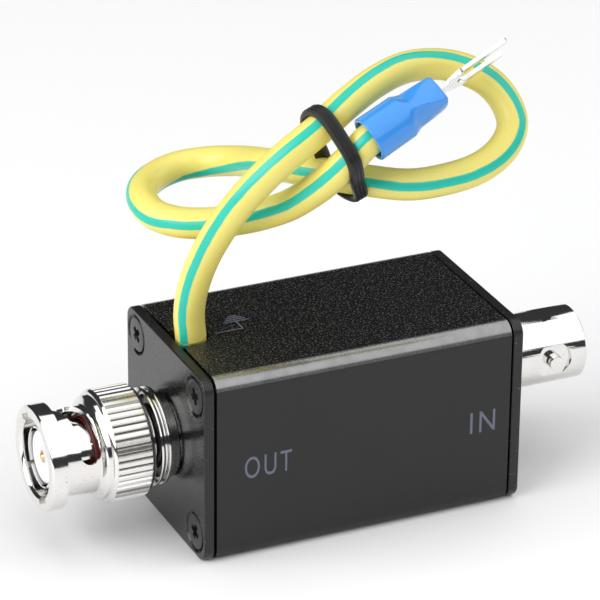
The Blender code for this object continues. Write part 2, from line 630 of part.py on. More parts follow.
def centre_insulator(name, axis, radius, front, boss=None):
    """White insulator round a centre contact, with a slimmer boss in the jack."""
    bore = PIN_RADIUS + FINE_GAP
    outline = [(radius, front), (radius, -TAIL_LENGTH), (bore, -TAIL_LENGTH), (bore, front)]
    if boss:
        boss_radius, boss_front, wide = boss
        outline = [(boss_radius, boss_front), (boss_radius, front), (radius, front),
                   (radius, -TAIL_LENGTH), (bore, -TAIL_LENGTH), (bore, front - 1 * MM),
                   (wide, front - 1 * MM), (wide, boss_front)]
    turned(name, outline, WHITE_INSULATOR, axis, sides=28)


def plug_pin(axis):
    tip = SHELL_FRONT - PIN_SETBACK
    outline = [(0, tip), (0.25 * MM, tip - 0.05 * MM), (PIN_RADIUS, tip - 0.7 * MM),
               (PIN_RADIUS, -TAIL_LENGTH), (TAIL_PIN_RADIUS, -TAIL_LENGTH - 0.2 * MM),
               (TAIL_PIN_RADIUS, -TAIL_PIN_REACH), (0, -TAIL_PIN_REACH)]
    turned("plug_pin", outline, GOLD, axis, sides=16, ring=False)


def gasket(axis):
    low = CAVITY_FRONT - SEAT_GAP + SEAT_GAP
    high = low + GASKET_LENGTH
    inner, outer = SHELL_RADIUS + FINE_GAP, MATING_BORE - 1.7 * FINE_GAP
    turned("plug_gasket", [(outer, high), (outer, low), (inner, low), (inner, high)],
           RED_RUBBER, axis, sides=32)


def lock_washer(name, axis):
    """Toothed washer between an end plate and its nut."""
    top = -PLATE_THICKNESS - SEAT_GAP
    low = top - WASHER_THICKNESS
    obj = turned(name, [(WASHER_RADIUS, top), (WASHER_RADIUS, low), (PLATE_HOLE, low),
                        (PLATE_HOLE, top)], SPRING_STEEL, axis, sides=30)

    def build(bm):
        for i in range(10):
            spin = Matrix.Rotation(2 * pi * i / 10, 4, "Z")
            shift = Matrix.Translation((WASHER_RADIUS, 0, (top + low) / 2))
            size = Matrix.Diagonal((1.6 * MM, 1.1 * MM, 2 * WASHER_THICKNESS, 1.0))
            bmesh.ops.create_cube(bm, size=1.0, matrix=spin @ shift @ size)
    combine(obj, place(f"{name}_teeth", mesh_of(f"{name}_teeth", build), None, axis))


def hex_nut(name, axis):
    low = NUT_SEAT - NUT_THICKNESS
    obj = rod(name, NUT_FLATS / 2 / cos(pi / 6), (0, 0, low), (0, 0, NUT_SEAT), NICKEL, axis,
              sides=6)
    combine(obj, rod(f"{name}_bore", PLATE_HOLE, (0, 0, low - 1 * MM), (0, 0, NUT_SEAT + 1 * MM),
                     None, axis, sides=40))


def jack_body(axis):
    """Mating barrel with two bayonet studs on milled flats, a flange and a threaded tail."""
    flange_top = SEAT_GAP + JACK_FLANGE_LENGTH
    step = JACK_FRONT - JACK_BORE_DEPTH
    rear_bore = INSERT_RADIUS + SEAT_GAP
    outline = [
        (JACK_RADIUS - 0.25 * MM, JACK_FRONT), (JACK_RADIUS, JACK_FRONT - 0.25 * MM),
        (JACK_RADIUS, flange_top + 0.2 * MM), (JACK_RADIUS + 0.1 * MM, flange_top),
        (JACK_FLANGE_RADIUS - 0.15 * MM, flange_top), (JACK_FLANGE_RADIUS, flange_top - 0.15 * MM),
        (JACK_FLANGE_RADIUS, SEAT_GAP), (TAIL_RADIUS, SEAT_GAP), (TAIL_RADIUS, -TAIL_LENGTH),
        (rear_bore, -TAIL_LENGTH), (rear_bore, step), (JACK_BORE, step),
        (JACK_BORE, JACK_FRONT - 0.15 * MM), (JACK_BORE + 0.15 * MM, JACK_FRONT),
    ]
    obj = turned("jack_body", outline, NICKEL, axis, sides=48)
    for i, way in enumerate((1, -1), 1):
        combine(obj, rod(f"spot_{i}", SPOT_RADIUS, (way * SPOT_REACH, 0, STUD_HEIGHT),
                         (way * 2 * SPOT_REACH, 0, STUD_HEIGHT), None, axis, sides=36))
        far = JACK_RADIUS - WAIST_DEPTH + WAIST_RADIUS
        combine(obj, rod(f"waist_{i}", WAIST_RADIUS, (-2 * JACK_RADIUS, way * far, STUD_HEIGHT),
                         (2 * JACK_RADIUS, way * far, STUD_HEIGHT), None, axis, sides=40))
        flats = box(f"flange_flat_{i}", (4 * JACK_FLANGE_RADIUS, 2 * MM, JACK_FLANGE_LENGTH + 0.1 * MM),
                    (0, way * (JACK_FLANGE_RADIUS - 0.7 * MM + 1 * MM),
                     SEAT_GAP + JACK_FLANGE_LENGTH / 2), None, axis)
        combine(obj, flats)
    inside = JACK_BORE + 0.1 * MM
    for i, way in enumerate((1, -1), 1):
        combine(obj, rod(f"stud_{i}", STUD_RADIUS, (way * inside, 0, STUD_HEIGHT),
                         (way * STUD_REACH, 0, STUD_HEIGHT), None, axis, sides=20), "UNION")


def jack_contact(axis):
    """Socket contact with a solder tail bent down to the board."""
    front = BOSS_FRONT - 0.3 * MM
    floor = front - CONTACT_DEPTH
    outline = [(CONTACT_RADIUS, front), (CONTACT_RADIUS, floor - 0.5 * MM),
               (PIN_RADIUS, floor - 0.5 * MM), (PIN_RADIUS, -TAIL_LENGTH),
               (TAIL_PIN_RADIUS, -TAIL_LENGTH - 0.2 * MM), (TAIL_PIN_RADIUS, -TAIL_PIN_REACH),
               (0, -TAIL_PIN_REACH)]
    outline = [(0, floor), (CONTACT_BORE, floor), (CONTACT_BORE, front)] + outline
    obj = turned("jack_contact", outline, GOLD, axis, sides=18, ring=False)
    drop = JACK_Z - BOARD_TOP - SEAT_GAP
    bend = -TAIL_PIN_REACH + TAIL_PIN_RADIUS * 1.1
    combine(obj, rod("contact_leg", TAIL_PIN_RADIUS * 0.98, (0, 0, bend), (0, drop, bend), None,
                     axis, sides=16), "UNION")


def circuit_board():
    box("circuit_board", (2 * BOARD_HALF, 2 * BOARD_SIDE, BOARD_THICKNESS),
        (0, 0, BOARD_TOP - BOARD_THICKNESS / 2), BOARD_GREEN)


def lying_frame(name, x, y, radius):
    """A frame for a round component that lies across the board."""
    return frame(name, (x, y, BOARD_TOP + SEAT_GAP + radius), (1, 0, 0), (0, 1, 0))


def gas_tube(x):
    half, cap = TUBE_BODY_LENGTH / 2, 0.9 * MM
    turned("gas_discharge_tube", [
        (0, half), (TUBE_CAP_RADIUS, half), (TUBE_CAP_RADIUS, half - cap),
        (TUBE_BODY_RADIUS, half - cap), (TUBE_BODY_RADIUS, cap - half),
        (TUBE_CAP_RADIUS, cap - half), (TUBE_CAP_RADIUS, -half), (0, -half)],
        CERAMIC, lying_frame("tube_axis", x, COMPONENT_SIDE - half, TUBE_CAP_RADIUS), 24, False)


def clamp_diode(name, x):
    radius, half, cap = DIODE_RADIUS, DIODE_LENGTH / 2, 0.6 * MM
    turned(name, [
        (0, half), (radius, half), (radius, half - cap), (radius * 0.93, half - cap),
        (radius * 0.93, cap - half), (radius, cap - half), (radius, -half), (0, -half)],
        EPOXY_BLACK, lying_frame(f"{name}_axis", x, COMPONENT_SIDE - half, radius), 16, False)


def series_resistor(x):
    radius, half = RESISTOR_RADIUS, RESISTOR_LENGTH / 2
    end, shoulder, waist = 0.3 * MM, 1.2 * MM, 1.6 * MM
    turned("series_resistor", [
        (0, half), (radius * 0.8, half), (radius, half - end), (radius, half - shoulder),
        (radius * 0.85, half - waist), (radius * 0.85, waist - half), (radius, shoulder - half),
        (radius, end - half), (radius * 0.8, -half), (0, -half)],
        CERAMIC, lying_frame("resistor_axis", x, half - COMPONENT_SIDE, radius), 16, False)


def choke(x):
    """A winding on a ferrite drum that stands on the board."""
    radius, height, cheek = CHOKE_RADIUS, CHOKE_HEIGHT, 0.8 * MM
    standing = frame("choke_axis", (x, radius - COMPONENT_SIDE, BOARD_TOP + SEAT_GAP), (1, 0, 0),
                     (0, 0, 1))
    turned("choke", [
        (0, height), (radius, height), (radius, height - cheek), (radius * 0.8, height - cheek),
        (radius * 0.8, cheek), (radius, cheek), (radius, 0), (0, 0)],
        EPOXY_BLACK, standing, 24, False)


def components():
    """What the circuit needs between the two connectors and the earth lead."""
    first = CORE_FOOT_X + CORE_RADIUS + COMPONENT_GAP + max(CHOKE_RADIUS, TUBE_CAP_RADIUS)
    gas_tube(first)
    choke(first)
    x = first + max(CHOKE_RADIUS, TUBE_CAP_RADIUS) + COMPONENT_GAP
    clamp_diode("clamp_diode_1", x + DIODE_RADIUS)
    clamp_diode("clamp_diode_2", x + 3 * DIODE_RADIUS + COMPONENT_GAP)
    series_resistor(x + RESISTOR_RADIUS)
    x += 2 * RESISTOR_RADIUS + COMPONENT_GAP
    box("clamp_block", (BLOCK_LENGTH, BLOCK_WIDTH, BLOCK_HEIGHT),
        (x + BLOCK_LENGTH / 2, BLOCK_WIDTH / 2 - COMPONENT_SIDE,
         BOARD_TOP + SEAT_GAP + BLOCK_HEIGHT / 2), EPOXY_BLACK, bevel=0.25 * MM, segments=1)


def inner_lead():
    """The lead's stretch inside the box: its stripped conductor goes over the plug's nut and
    down to the board."""
    top = BOX_HEIGHT - SEAT_GAP
    stripped = BOX_HEIGHT - TUBE_WALL - STRIP_REACH
    nut_top = PLUG_HEIGHT + NUT_FLATS / 2 / cos(pi / 6)
    over = (BOX_HEIGHT - TUBE_WALL + nut_top) / 2
    behind = TAIL_LENGTH + SEAT_GAP + CORE_RADIUS - PLATE_OUTER_X
    foot = BOARD_TOP + SEAT_GAP
    path = [(WIRE_X, top - 0.5 * MM), (WIRE_X, stripped), (WIRE_X + 0.5 * MM, (stripped + 2 * over) / 3),
            (WIRE_X + 1.6 * MM, over), (behind + 0.4 * MM, over - 1.0 * MM),
            (behind + 2.0 * MM, (3 * over + foot) / 4 - 0.5 * MM),
            (CORE_FOOT_X, (over + foot) / 2), (CORE_FOOT_X, (over + 3 * foot) / 4), (CORE_FOOT_X, foot)]
    points = smooth_path([Vector((x, WIRE_Y, z)) for x, z in path], 0.9 * MM)
    core = as_mesh(tube("core_curve", points, CORE_RADIUS, EARTH_YELLOW))
    obj = place("earth_lead_inner", core, EARTH_YELLOW)
    combine(obj, rod("insulation_end", WIRE_RADIUS, (WIRE_X, WIRE_Y, stripped),
                     (WIRE_X, WIRE_Y, top), sides=24), "UNION")


def earth_wire():
    points = smooth_path([Vector(p) * MM + LEAD_SHIFT for p in ROUTE], 0.8 * WIRE_DIAMETER)
    tube("earth_wire", points, WIRE_RADIUS, EARTH_YELLOW)


def wire_tie():
    """A strap pulled round the strands: the outer hull of their slices in its plane."""
    across = TIE_DIRECTION.orthogonal().normalized()
    other = TIE_DIRECTION.cross(across)
    middle = sum((Vector(p) for p, _ in TIED), Vector()) * MM / len(TIED) + LEAD_SHIFT
    reach = WIRE_RADIUS + TIE_GAP + TIE_THICKNESS / 2
    slices = []
    for point, run in TIED:
        point, run = Vector(point) * MM + LEAD_SHIFT, Vector(run).normalized()
        slope = run.dot(TIE_DIRECTION)
        centre = point - middle - run * (point - middle).dot(TIE_DIRECTION) / slope
        slices.append((centre, run - TIE_DIRECTION * slope, slope))
    points = []
    for i in range(40):
        angle = 2 * pi * i / 40
        way = across * cos(angle) + other * sin(angle)
        best = None
        for centre, lean, slope in slices:
            spread = way * reach ** 2 + lean * lean.dot(way) * reach ** 2 / slope ** 2
            support = spread.dot(way) ** 0.5
            point = centre + spread / support
            if best is None or point.dot(way) > best.dot(way):
                best = point
        points.append(middle + best)
    tube("wire_tie", points, TIE_THICKNESS / 2, TIE_BLACK, closed=True)


def terminal_frame():
    side = TERMINAL_SIDE - TERMINAL_AXIS * TERMINAL_SIDE.dot(TERMINAL_AXIS)
    mouth = Vector(TERMINAL_MOUTH) * MM + LEAD_SHIFT
    return frame("terminal_axis", mouth, side, TERMINAL_AXIS)


def terminal_sleeve(axis):
    """Blue insulating sleeve, funnel-mouthed, open at both ends."""
    wire_bore = WIRE_RADIUS + SEAT_GAP
    barrel_bore = TERMINAL_BARREL_RADIUS + SEAT_GAP
    deep = 2 * FUNNEL_LENGTH
    outline = [
        (SLEEVE_RADIUS - 0.2 * MM, SLEEVE_LENGTH), (SLEEVE_RADIUS, SLEEVE_LENGTH - 0.3 * MM),
        (SLEEVE_RADIUS + 0.1 * MM, deep), (SLEEVE_RADIUS + 0.3 * MM, FUNNEL_LENGTH),
        (SLEEVE_MOUTH_RADIUS, 0), (SLEEVE_MOUTH_RADIUS - 0.3 * MM, 0),
        (wire_bore, FUNNEL_LENGTH), (wire_bore, deep), (barrel_bore, deep + 0.2 * MM),
        (barrel_bore, SLEEVE_LENGTH),
    ]
    turned("terminal_sleeve", outline, SLEEVE_BLUE, axis, sides=28)


def fork_outline():
    """The tongue seen flat: a shoulder, two prongs and a round-bottomed slot."""
    half, slot = FORK_WIDTH / 2, FORK_SLOT / 2
    neck, root = SLEEVE_LENGTH - 0.3 * MM, SLEEVE_LENGTH + 1.0 * MM
    shoulder = SLEEVE_LENGTH + 3.0 * MM
    centre = shoulder + slot - 0.6 * MM
    right = [(TERMINAL_BARREL_RADIUS * 0.9, neck), (TERMINAL_BARREL_RADIUS * 0.95, root),
             (half - 0.5 * MM, shoulder - 0.7 * MM), (half, shoulder),
             (half, TERMINAL_LENGTH - 0.6 * MM), (half - 0.3 * MM, TERMINAL_LENGTH),
             (slot + 0.2 * MM, TERMINAL_LENGTH), (slot, TERMINAL_LENGTH - 0.3 * MM)]
    arc = [(slot * cos(radians(a)), centre + slot * sin(radians(a))) for a in range(0, -181, -20)]
    left = [(-x, y) for x, y in reversed(right)]
    return right + arc + left


def fork_terminal(axis):
    """Barrel and flat fork of one tinned copper stamping."""
    rear = 2 * FUNNEL_LENGTH + 0.5 * MM
    front = SLEEVE_LENGTH + 0.8 * MM
    bore = TERMINAL_BARREL_RADIUS - 0.55 * MM
    floor = front - 0.9 * MM
    outline = [(0, front), (TERMINAL_BARREL_RADIUS - 0.4 * MM, front),
               (TERMINAL_BARREL_RADIUS, front - 0.4 * MM), (TERMINAL_BARREL_RADIUS, rear),
               (bore, rear), (bore, floor), (0, floor)]
    obj = turned("fork_terminal", outline, TINNED_COPPER, axis, sides=20, ring=False)
    curve = bpy.data.curves.new("tongue", "CURVE")
    curve.dimensions = "2D"
    curve.fill_mode = "BOTH"
    curve.extrude = FORK_THICKNESS / 2
    points = fork_outline()
    spline = curve.splines.new("POLY")
    spline.points.add(len(points) - 1)
    for point, (x, y) in zip(spline.points, points):
        point.co = (x, y, 0.0, 1.0)
    spline.use_cyclic_u = True
    flat = bpy.data.objects.new("tongue_curve", curve)
    CUTTERS.objects.link(flat)
    tongue = place("tongue", as_mesh(flat), None, axis)
    # The curve lies in its own X and Y, and the tongue runs along the axis
    tongue.rotation_euler = (pi / 2, 0, 0)
    combine(obj, tongue, "UNION")


def build():
    housing()
    end_plate("end_plate_out", -1, PLUG_HEIGHT)
    end_plate("end_plate_in", 1, JACK_Z)
    pattern = screw_mesh()
    screws("out", -1, pattern)
    screws("in", 1, pattern)

    plug = frame("plug_axis", (-PLATE_OUTER_X, 0, PLUG_HEIGHT), (0, -1, 0), (-1, 0, 0))
    plug_body(plug)
    centre_insulator("plug_insulator", plug, SHELL_BORE - SEAT_GAP, SHELL_FRONT - DISC_SETBACK)
    plug_pin(plug)
    gasket(plug)
    wave_washer(plug)
    thrust_washer(plug)
    retaining_ring(plug)
    coupling_nut(plug)
    lock_washer("plug_lock_washer", plug)
    hex_nut("plug_hex_nut", plug)

    jack = frame("jack_axis", (PLATE_OUTER_X, 0, JACK_Z), (0, -1, 0), (1, 0, 0))
    jack_body(jack)
    centre_insulator("jack_insulator", jack, INSERT_RADIUS, JACK_FRONT - JACK_BORE_DEPTH - SEAT_GAP,
                     (BOSS_RADIUS, BOSS_FRONT, CONTACT_RADIUS + FINE_GAP))
    jack_contact(jack)
    lock_washer("jack_lock_washer", jack)
    hex_nut("jack_hex_nut", jack)

    circuit_board()
    components()
    inner_lead()
    earth_wire()
    wire_tie()
    terminal = terminal_frame()
    terminal_sleeve(terminal)
    fork_terminal(terminal)


build()
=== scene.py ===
"""Looks of the coaxial lightning arrestor, laid out as a Blender add-on."""
from contextlib import contextmanager
from math import atan2, copysign, cos, pi, radians, sin

import bmesh
import bpy
from bpy.props import FloatProperty, FloatVectorProperty, IntProperty, PointerProperty
from mathutils import Matrix, Vector


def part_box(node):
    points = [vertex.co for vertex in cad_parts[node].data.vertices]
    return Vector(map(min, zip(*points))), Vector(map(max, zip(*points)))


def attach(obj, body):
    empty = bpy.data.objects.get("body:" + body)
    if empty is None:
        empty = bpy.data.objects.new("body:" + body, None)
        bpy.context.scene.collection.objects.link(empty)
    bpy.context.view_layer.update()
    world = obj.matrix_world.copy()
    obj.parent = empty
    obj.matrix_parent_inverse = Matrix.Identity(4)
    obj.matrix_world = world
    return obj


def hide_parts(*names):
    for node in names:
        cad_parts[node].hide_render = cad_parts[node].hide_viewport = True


bl_info = {
    "name": "Coaxial Lightning Arrestor",
    "version": (1, 0, 0),
    "blender": (4, 5, 0),
    "location": "View3D > Sidebar > Arrestor",
    "description": "Finishes and fine pieces of a coaxial lightning arrestor",
    "category": "Object",
}

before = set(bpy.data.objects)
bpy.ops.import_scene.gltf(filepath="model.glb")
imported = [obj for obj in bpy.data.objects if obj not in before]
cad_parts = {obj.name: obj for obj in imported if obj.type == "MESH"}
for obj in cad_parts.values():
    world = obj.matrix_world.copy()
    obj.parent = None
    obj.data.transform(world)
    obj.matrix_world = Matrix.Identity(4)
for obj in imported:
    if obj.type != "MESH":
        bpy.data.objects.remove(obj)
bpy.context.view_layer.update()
MM = 0.001
BODY = "arrestor"


def middle_height(node):
    """Height of a CAD node's middle, in millimetres."""
    low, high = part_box(node)
    return (low.z + high.z) / 2 / MM


# Places read from the frame, in millimetres
PLATE_LOW, PLATE_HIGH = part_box("end_plate_out")
PLATE_OUT = PLATE_LOW.x / MM
PLATE_THICK = (PLATE_HIGH.x - PLATE_LOW.x) / MM
PLATE_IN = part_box("end_plate_in")[1].x / MM
TUBE_HALF, BOX_HALF, BOX_TOP = [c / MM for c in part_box("housing")[1]]
BOARD_LOW, BOARD_HIGH = [corner.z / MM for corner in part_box("circuit_board")]
PLUG_Z = middle_height("plug_insulator")
JACK_Z = middle_height("jack_insulator")
NOSE = PLATE_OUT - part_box("coupling_nut")[0].x / MM
JACK_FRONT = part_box("jack_body")[1].x / MM - PLATE_IN

# Box, in millimetres
SEAT_GAP = 0.3
CORNER_RADIUS = 1.9
CORNER_STEPS = 12
TUBE_WALL = 1.5
HOLLOW_RADIUS = 0.8
PORT_RADIUS = 2.3
PORT_SHORT = 0.05            # the ports and rails end this far inside the tube's ends
BORE_RADIUS = 1.45
SCREW_INSET = 3.16
SCREW_TURN = 23              # degrees that the recess turns from screw to screw
RAIL_DEPTH = 1.1
RAIL_HEIGHT = 0.9
LEAD_HOLE_RADIUS = 2.25
INK = 0.008                  # thickness of a printed word and its distance from the face

# Coupling nut, in millimetres: heights are counted from the end plate's face
KNURL_REAR, KNURL_FRONT = 4.5, 9.05
KNURL_ROOT, KNURL_TIP = 6.8, 7.15
SLOT_LOW, SLOT_HIGH = 11.9, 13.8     # the slot's middle line at its detent and at its entry
SLOT_END, SLOT_ENTRY = 20, 120       # degrees round the nut of the detent and the entry
SLOT_WIDTH = 2.4
SLOT_STEPS = 24
SLOT_POWER = 3                       # the slot climbs with this power of its way round
DETENT_RADIUS = 1.3
BARREL_RADIUS = 5.5

# Jack, in millimetres
STUD_HEIGHT = 8.8
STUD_RADIUS = 0.97
STUD_REACH = 5.5

# The lead's route from its hole in the box, in millimetres, as in the part's source
ROUTE = [
    (-18.05, 0.3, 25.0), (-18.25, 0.35, 28.6), (-18.3, 0.0, 31.3), (-18.1, -0.7, 33.5),
    (-17.2, -2.2, 37.0), (-15.8, -4.3, 41.4), (-14.4, -5.9, 45.3), (-11.9, -7.4, 48.5),
    (-8.9, -8.3, 51.3),
    (-5.4, -8.7, 53.9), (-1.4, -8.2, 56.5), (3.0, -7.1, 58.3), (7.3, -6.0, 59.0),
    (11.5, -5.6, 58.7), (15.2, -6.1, 57.7), (18.0, -7.6, 56.1), (19.5, -9.4, 53.9),
    (19.6, -11.2, 51.5), (17.8, -12.4, 49.2), (14.5, -12.8, 47.4), (10.4, -12.3, 46.4),
    (5.8, -11.2, 46.0), (1.4, -8.8, 46.3), (-2.1, -5.6, 46.4), (-4.4, -0.3, 45.5),
    (-5.9, 5.2, 44.2), (-6.1, 10.3, 42.5), (-7.0, 13.6, 41.4), (-9.3, 16.2, 40.6),
    (-12.6, 17.3, 40.1), (-16.0, 16.3, 39.8), (-18.8, 13.8, 39.6), (-20.1, 10.4, 39.3),
    (-19.8, 7.1, 38.9), (-18.0, 4.3, 38.8), (-15.2, 2.0, 39.1), (-12.2, -0.3, 40.0),
    (-9.7, -2.5, 41.2), (-7.3, -5.0, 43.0), (-5.7, -8.0, 45.7), (-4.1, -10.3, 48.4),
    (-2.5, -11.9, 51.0), (-0.47, -12.64, 53.44), (1.43, -12.53, 54.33), (3.68, -12.39, 55.4),
]
LEAD_HOLE = ROUTE[0]
# The rise from the hole to this point of the route is drawn as one even arc, which stays
# within 0.7 mm of the route: its first way and the lengths of its two handles
RISE_END = 8
LEAD_WAY = (-0.15, 0.1, 1.0)
RISE_HANDLES = (8.0, 10.0)
LEAD_STEP = 0.6
# The lead inside the box is bare from this far below the hole
BARE_DEPTH = 2.2
# The sleeve's mouth, the terminal's way and the way across its fork
TERMINAL_MOUTH = Vector(ROUTE[-3])
TERMINAL_AXIS = Vector((0.9025, 0.0533, 0.4274)).normalized()
TERMINAL_SIDE = Vector((-0.2609, -0.722, 0.6408))
# Sleeve's crimp, in millimetres along the terminal: where it starts, how soon it is full, how
# many degrees it twists on each millimetre and how far from the axis it starts to press
CRIMP_START, CRIMP_RUN = 5.0, 1.2
CRIMP_TWIST = 7.0
CRIMP_CORE = 2.2
CRIMP_SHARPEN, CRIMP_WIDEN, CRIMP_FLATTEN = 0.55, 0.08, 0.10
# A point and the way of each strand inside the tie, and the way through the tie's loop
TIED = [((-5.05, -8.69, 54.15), (0.819, 0.034, 0.573)),
        ((-3.18, -11.35, 49.96), (0.462, -0.454, 0.762)),
        ((-0.81, -7.09, 46.44), (-0.727, 0.686, 0.025))]
TIE_DIRECTION = Vector((0.8824, -0.104, 0.4589)).normalized()
# The strap's slack round the strands in millimetres, and how far a slanting strand's slice is
# stretched: 0 is not at all and 1 is the whole slice
TIE_SLACK = 0.15
TIE_STRETCH = 0.6
TIE_ANGLES = 120
TIE_STEPS = 150
TIE_ROUNDS = 36
# Round the strap's section, as shares of half its width and half its thickness: a flat back
# inside and three ribs outside
STRAP = [(-1, -0.6), (-0.96, 0.2), (-0.8, 0.75), (-0.66, 0.78), (-0.58, 1), (-0.42, 1),
         (-0.34, 0.78), (-0.16, 0.78), (-0.08, 1), (0.08, 1), (0.16, 0.78), (0.34, 0.78),
         (0.42, 1), (0.58, 1), (0.66, 0.78), (0.8, 0.75), (0.96, 0.2), (1, -0.6),
         (0.8, -0.85), (-0.8, -0.85)]
# Angle of a green stripe from the viewer's side towards the left of the lead's way, in degrees,
# by the number of the route's point
STRIPE_TURN = [(0, 29), (2, 24), (4, 19), (6, 24), (9, 18), (10, 28), (12, 41), (14, 33),
               (16, 38), (17, 42), (19, 20), (21, 10), (23, 4), (25, 15), (27, 35), (29, 60),
               (31, 105), (32, 122), (33, 145), (34, 165), (36, 180), (38, 183), (40, 192),
               (44, 195)]


# Sizes and colours

class StageSettings(bpy.types.PropertyGroup):
    """Camera, floor and lights."""
    camera_place: FloatVectorProperty(
        name="Camera place", description="Where the camera stands", subtype="TRANSLATION",
        unit="LENGTH", default=(-0.17834, -0.38159, 0.22828))
    yaw: FloatProperty(name="Yaw", description="Turn to the right from looking along +Y",
                       subtype="ANGLE", unit="ROTATION", default=radians(24.76))
    pitch: FloatProperty(name="Pitch", description="Look down by this much", subtype="ANGLE",
                         unit="ROTATION", default=radians(25.58))
    roll: FloatProperty(name="Roll", description="Tilt of the camera", subtype="ANGLE",
                        unit="ROTATION", default=radians(0.68))
    lens: FloatProperty(name="Lens", description="Focal length on a 36 mm sensor", default=224.2)
    shift: FloatProperty(name="Shift", description="Sideways shift of the frame", default=-0.013)
    floor_tone: FloatVectorProperty(name="Floor", description="Tone of the floor",
                                    subtype="COLOR", default=(0.965, 0.965, 0.97))
    tent: FloatProperty(name="Tent", description="Brightness of the overhead and front softboxes",
                        default=1.35)
    side: FloatProperty(name="Side", description="Brightness of the side softboxes", default=4.4)
    gloom: FloatProperty(name="Gloom", description="Brightness of the room behind", default=0.04)


class LeadSettings(bpy.types.PropertyGroup):
    """Earth lead, tie and terminal."""
    diameter: FloatProperty(name="Diameter", description="Over the lead's insulation",
                            unit="LENGTH", default=0.0039)
    sides: IntProperty(name="Sides", description="Faces round the lead", default=32)
    stripe_width: FloatProperty(name="Stripe", description="Share of the way round that each of "
                                "the two green stripes takes", default=0.092)
    yellow: FloatVectorProperty(name="Yellow", description="Insulation", subtype="COLOR",
                                default=(0.86, 0.75, 0.18))
    green: FloatVectorProperty(name="Green", description="Stripes", subtype="COLOR",
                               default=(0.012, 0.56, 0.42))
    tie_width: FloatProperty(name="Tie width", description="Across the strap", unit="LENGTH",
                             default=0.0019)
    tie_thickness: FloatProperty(name="Tie thickness", description="Through the strap",
                                 unit="LENGTH", default=0.0009)
    tie_lean: FloatProperty(name="Tie lean", description="How far the strap's front run lies "
                            "ahead along the strands", unit="LENGTH", default=0.0013)
    blue: FloatVectorProperty(name="Blue", description="Terminal's sleeve", subtype="COLOR",
                              default=(0.045, 0.30, 0.83))


class BoxSettings(bpy.types.PropertyGroup):
    """Black aluminium box."""
    black: FloatVectorProperty(name="Black", description="Anodised face", subtype="COLOR",
                               default=(0.006, 0.006, 0.007))
    top_black: FloatVectorProperty(name="Top black", description="Blasted top face",
                                   subtype="COLOR", default=(0.008, 0.008, 0.008))
    # Painted glints: lighter specks in the top's colour stand in for light sparkling off the
    # blasted grain
    painted_glint: FloatVectorProperty(name="Spark", description="Specks of the blasted top",
                               subtype="COLOR", default=(0.095, 0.095, 0.095))
    # Painted highlight: the band along the top's rounded edge and its duller spots stand in for
    # the softbox's reflection there
    edge_sheen: FloatVectorProperty(name="Rubbed", description="Rubbed band along the top's edge",
                                subtype="COLOR", default=(0.31, 0.31, 0.315))
    edge_sheen_dull: FloatVectorProperty(name="Rubbed, dull", description="Duller spots of the band",
                                     subtype="COLOR", default=(0.26, 0.26, 0.26))
    worn: FloatVectorProperty(name="Worn", description="Worn spots on the plates' cut edges",
                              subtype="COLOR", default=(0.30, 0.30, 0.30))
    print_tone: FloatVectorProperty(name="Print", description="Printed marks", subtype="COLOR",
                                    default=(0.135, 0.150, 0.215))
    edge_round: FloatProperty(name="Edge", description="Rounding of cut edges", unit="LENGTH",
                              default=0.00015)


class ConnectorSettings(bpy.types.PropertyGroup):
    """Bright bayonet connectors."""
    nickel: FloatVectorProperty(name="Nickel", description="Plating", subtype="COLOR",
                                default=(0.83, 0.82, 0.80))
    knurls: IntProperty(name="Knurls", description="Grooves round the grip", default=48)
    sides: IntProperty(name="Sides", description="Faces round a turned piece", default=144)


# Modelling by hand-tool operators. Lengths are given in millimetres, matrices hold metres.

def nothing_selected():
    """Object mode, with no object selected."""
    if bpy.context.object and bpy.context.object.mode != "OBJECT":
        bpy.ops.object.mode_set(mode="OBJECT")
    bpy.ops.object.select_all(action="DESELECT")


def activate(obj):
    """Object mode, with this object alone selected."""
    nothing_selected()
    obj.select_set(True)
    bpy.context.view_layer.objects.active = obj


@contextmanager
def editing(obj, elements="FACE", action="DESELECT"):
    """Edit mode on one object with nothing selected, or all, and its mesh to choose from."""
    activate(obj)
    bpy.ops.object.mode_set(mode="EDIT")
    bpy.ops.mesh.select_mode(type=elements)
    bpy.ops.mesh.select_all(action=action)
    yield bmesh.from_edit_mesh(obj.data)
    bpy.ops.object.mode_set(mode="OBJECT")


def choose(obj, elements, test):
    """Select what passes the test, in edit mode."""
    for element in elements:
        if test(element):
            element.select_set(True)
    bmesh.update_edit_mesh(obj.data)


def middle_of(edge):
    """An edge's middle, in millimetres."""
    return (edge.verts[0].co + edge.verts[1].co) / 2 / MM


def runs_along(edge, axis):
    """Whether an edge is parallel to an axis, given by its number."""
    way = (edge.verts[1].co - edge.verts[0].co).normalized()
    return abs(way[axis]) > 0.99


def whole(obj):
    """Merge a mesh's doubles, close it and turn its faces outwards."""
    with editing(obj, "VERT", "SELECT"):
        bpy.ops.mesh.remove_doubles(threshold=2e-6)
        bpy.ops.mesh.fill_holes(sides=0)
        bpy.ops.mesh.normals_make_consistent(inside=False)


def modify(obj, kind, **settings):
    """Add a modifier and apply it."""
    activate(obj)
    modifier = obj.modifiers.new(kind.title(), kind)
    for key, value in settings.items():
        setattr(modifier, key, value)
    bpy.ops.object.modifier_apply(modifier=modifier.name)


def soften(obj, width, angle, segments=2):
    """Round the edges that are sharper than an angle in degrees."""
    modify(obj, "BEVEL", width=width * MM, segments=segments, limit_method="ANGLE",
           angle_limit=radians(angle), use_clamp_overlap=True)


def smooth(obj, angle=32):
    """Shade smooth, but for edges sharper than an angle in degrees."""
    activate(obj)
    bpy.ops.object.shade_smooth_by_angle(angle=radians(angle))
    modify(obj, "WEIGHTED_NORMAL", weight=100, keep_sharp=True)


def carve(obj, tool, operation="DIFFERENCE"):
    """Cut a piece with a tool, or join the tool to it, and throw the tool away."""
    modify(obj, "BOOLEAN", object=tool, operation=operation, solver="EXACT")
    bpy.data.objects.remove(tool, do_unlink=True)


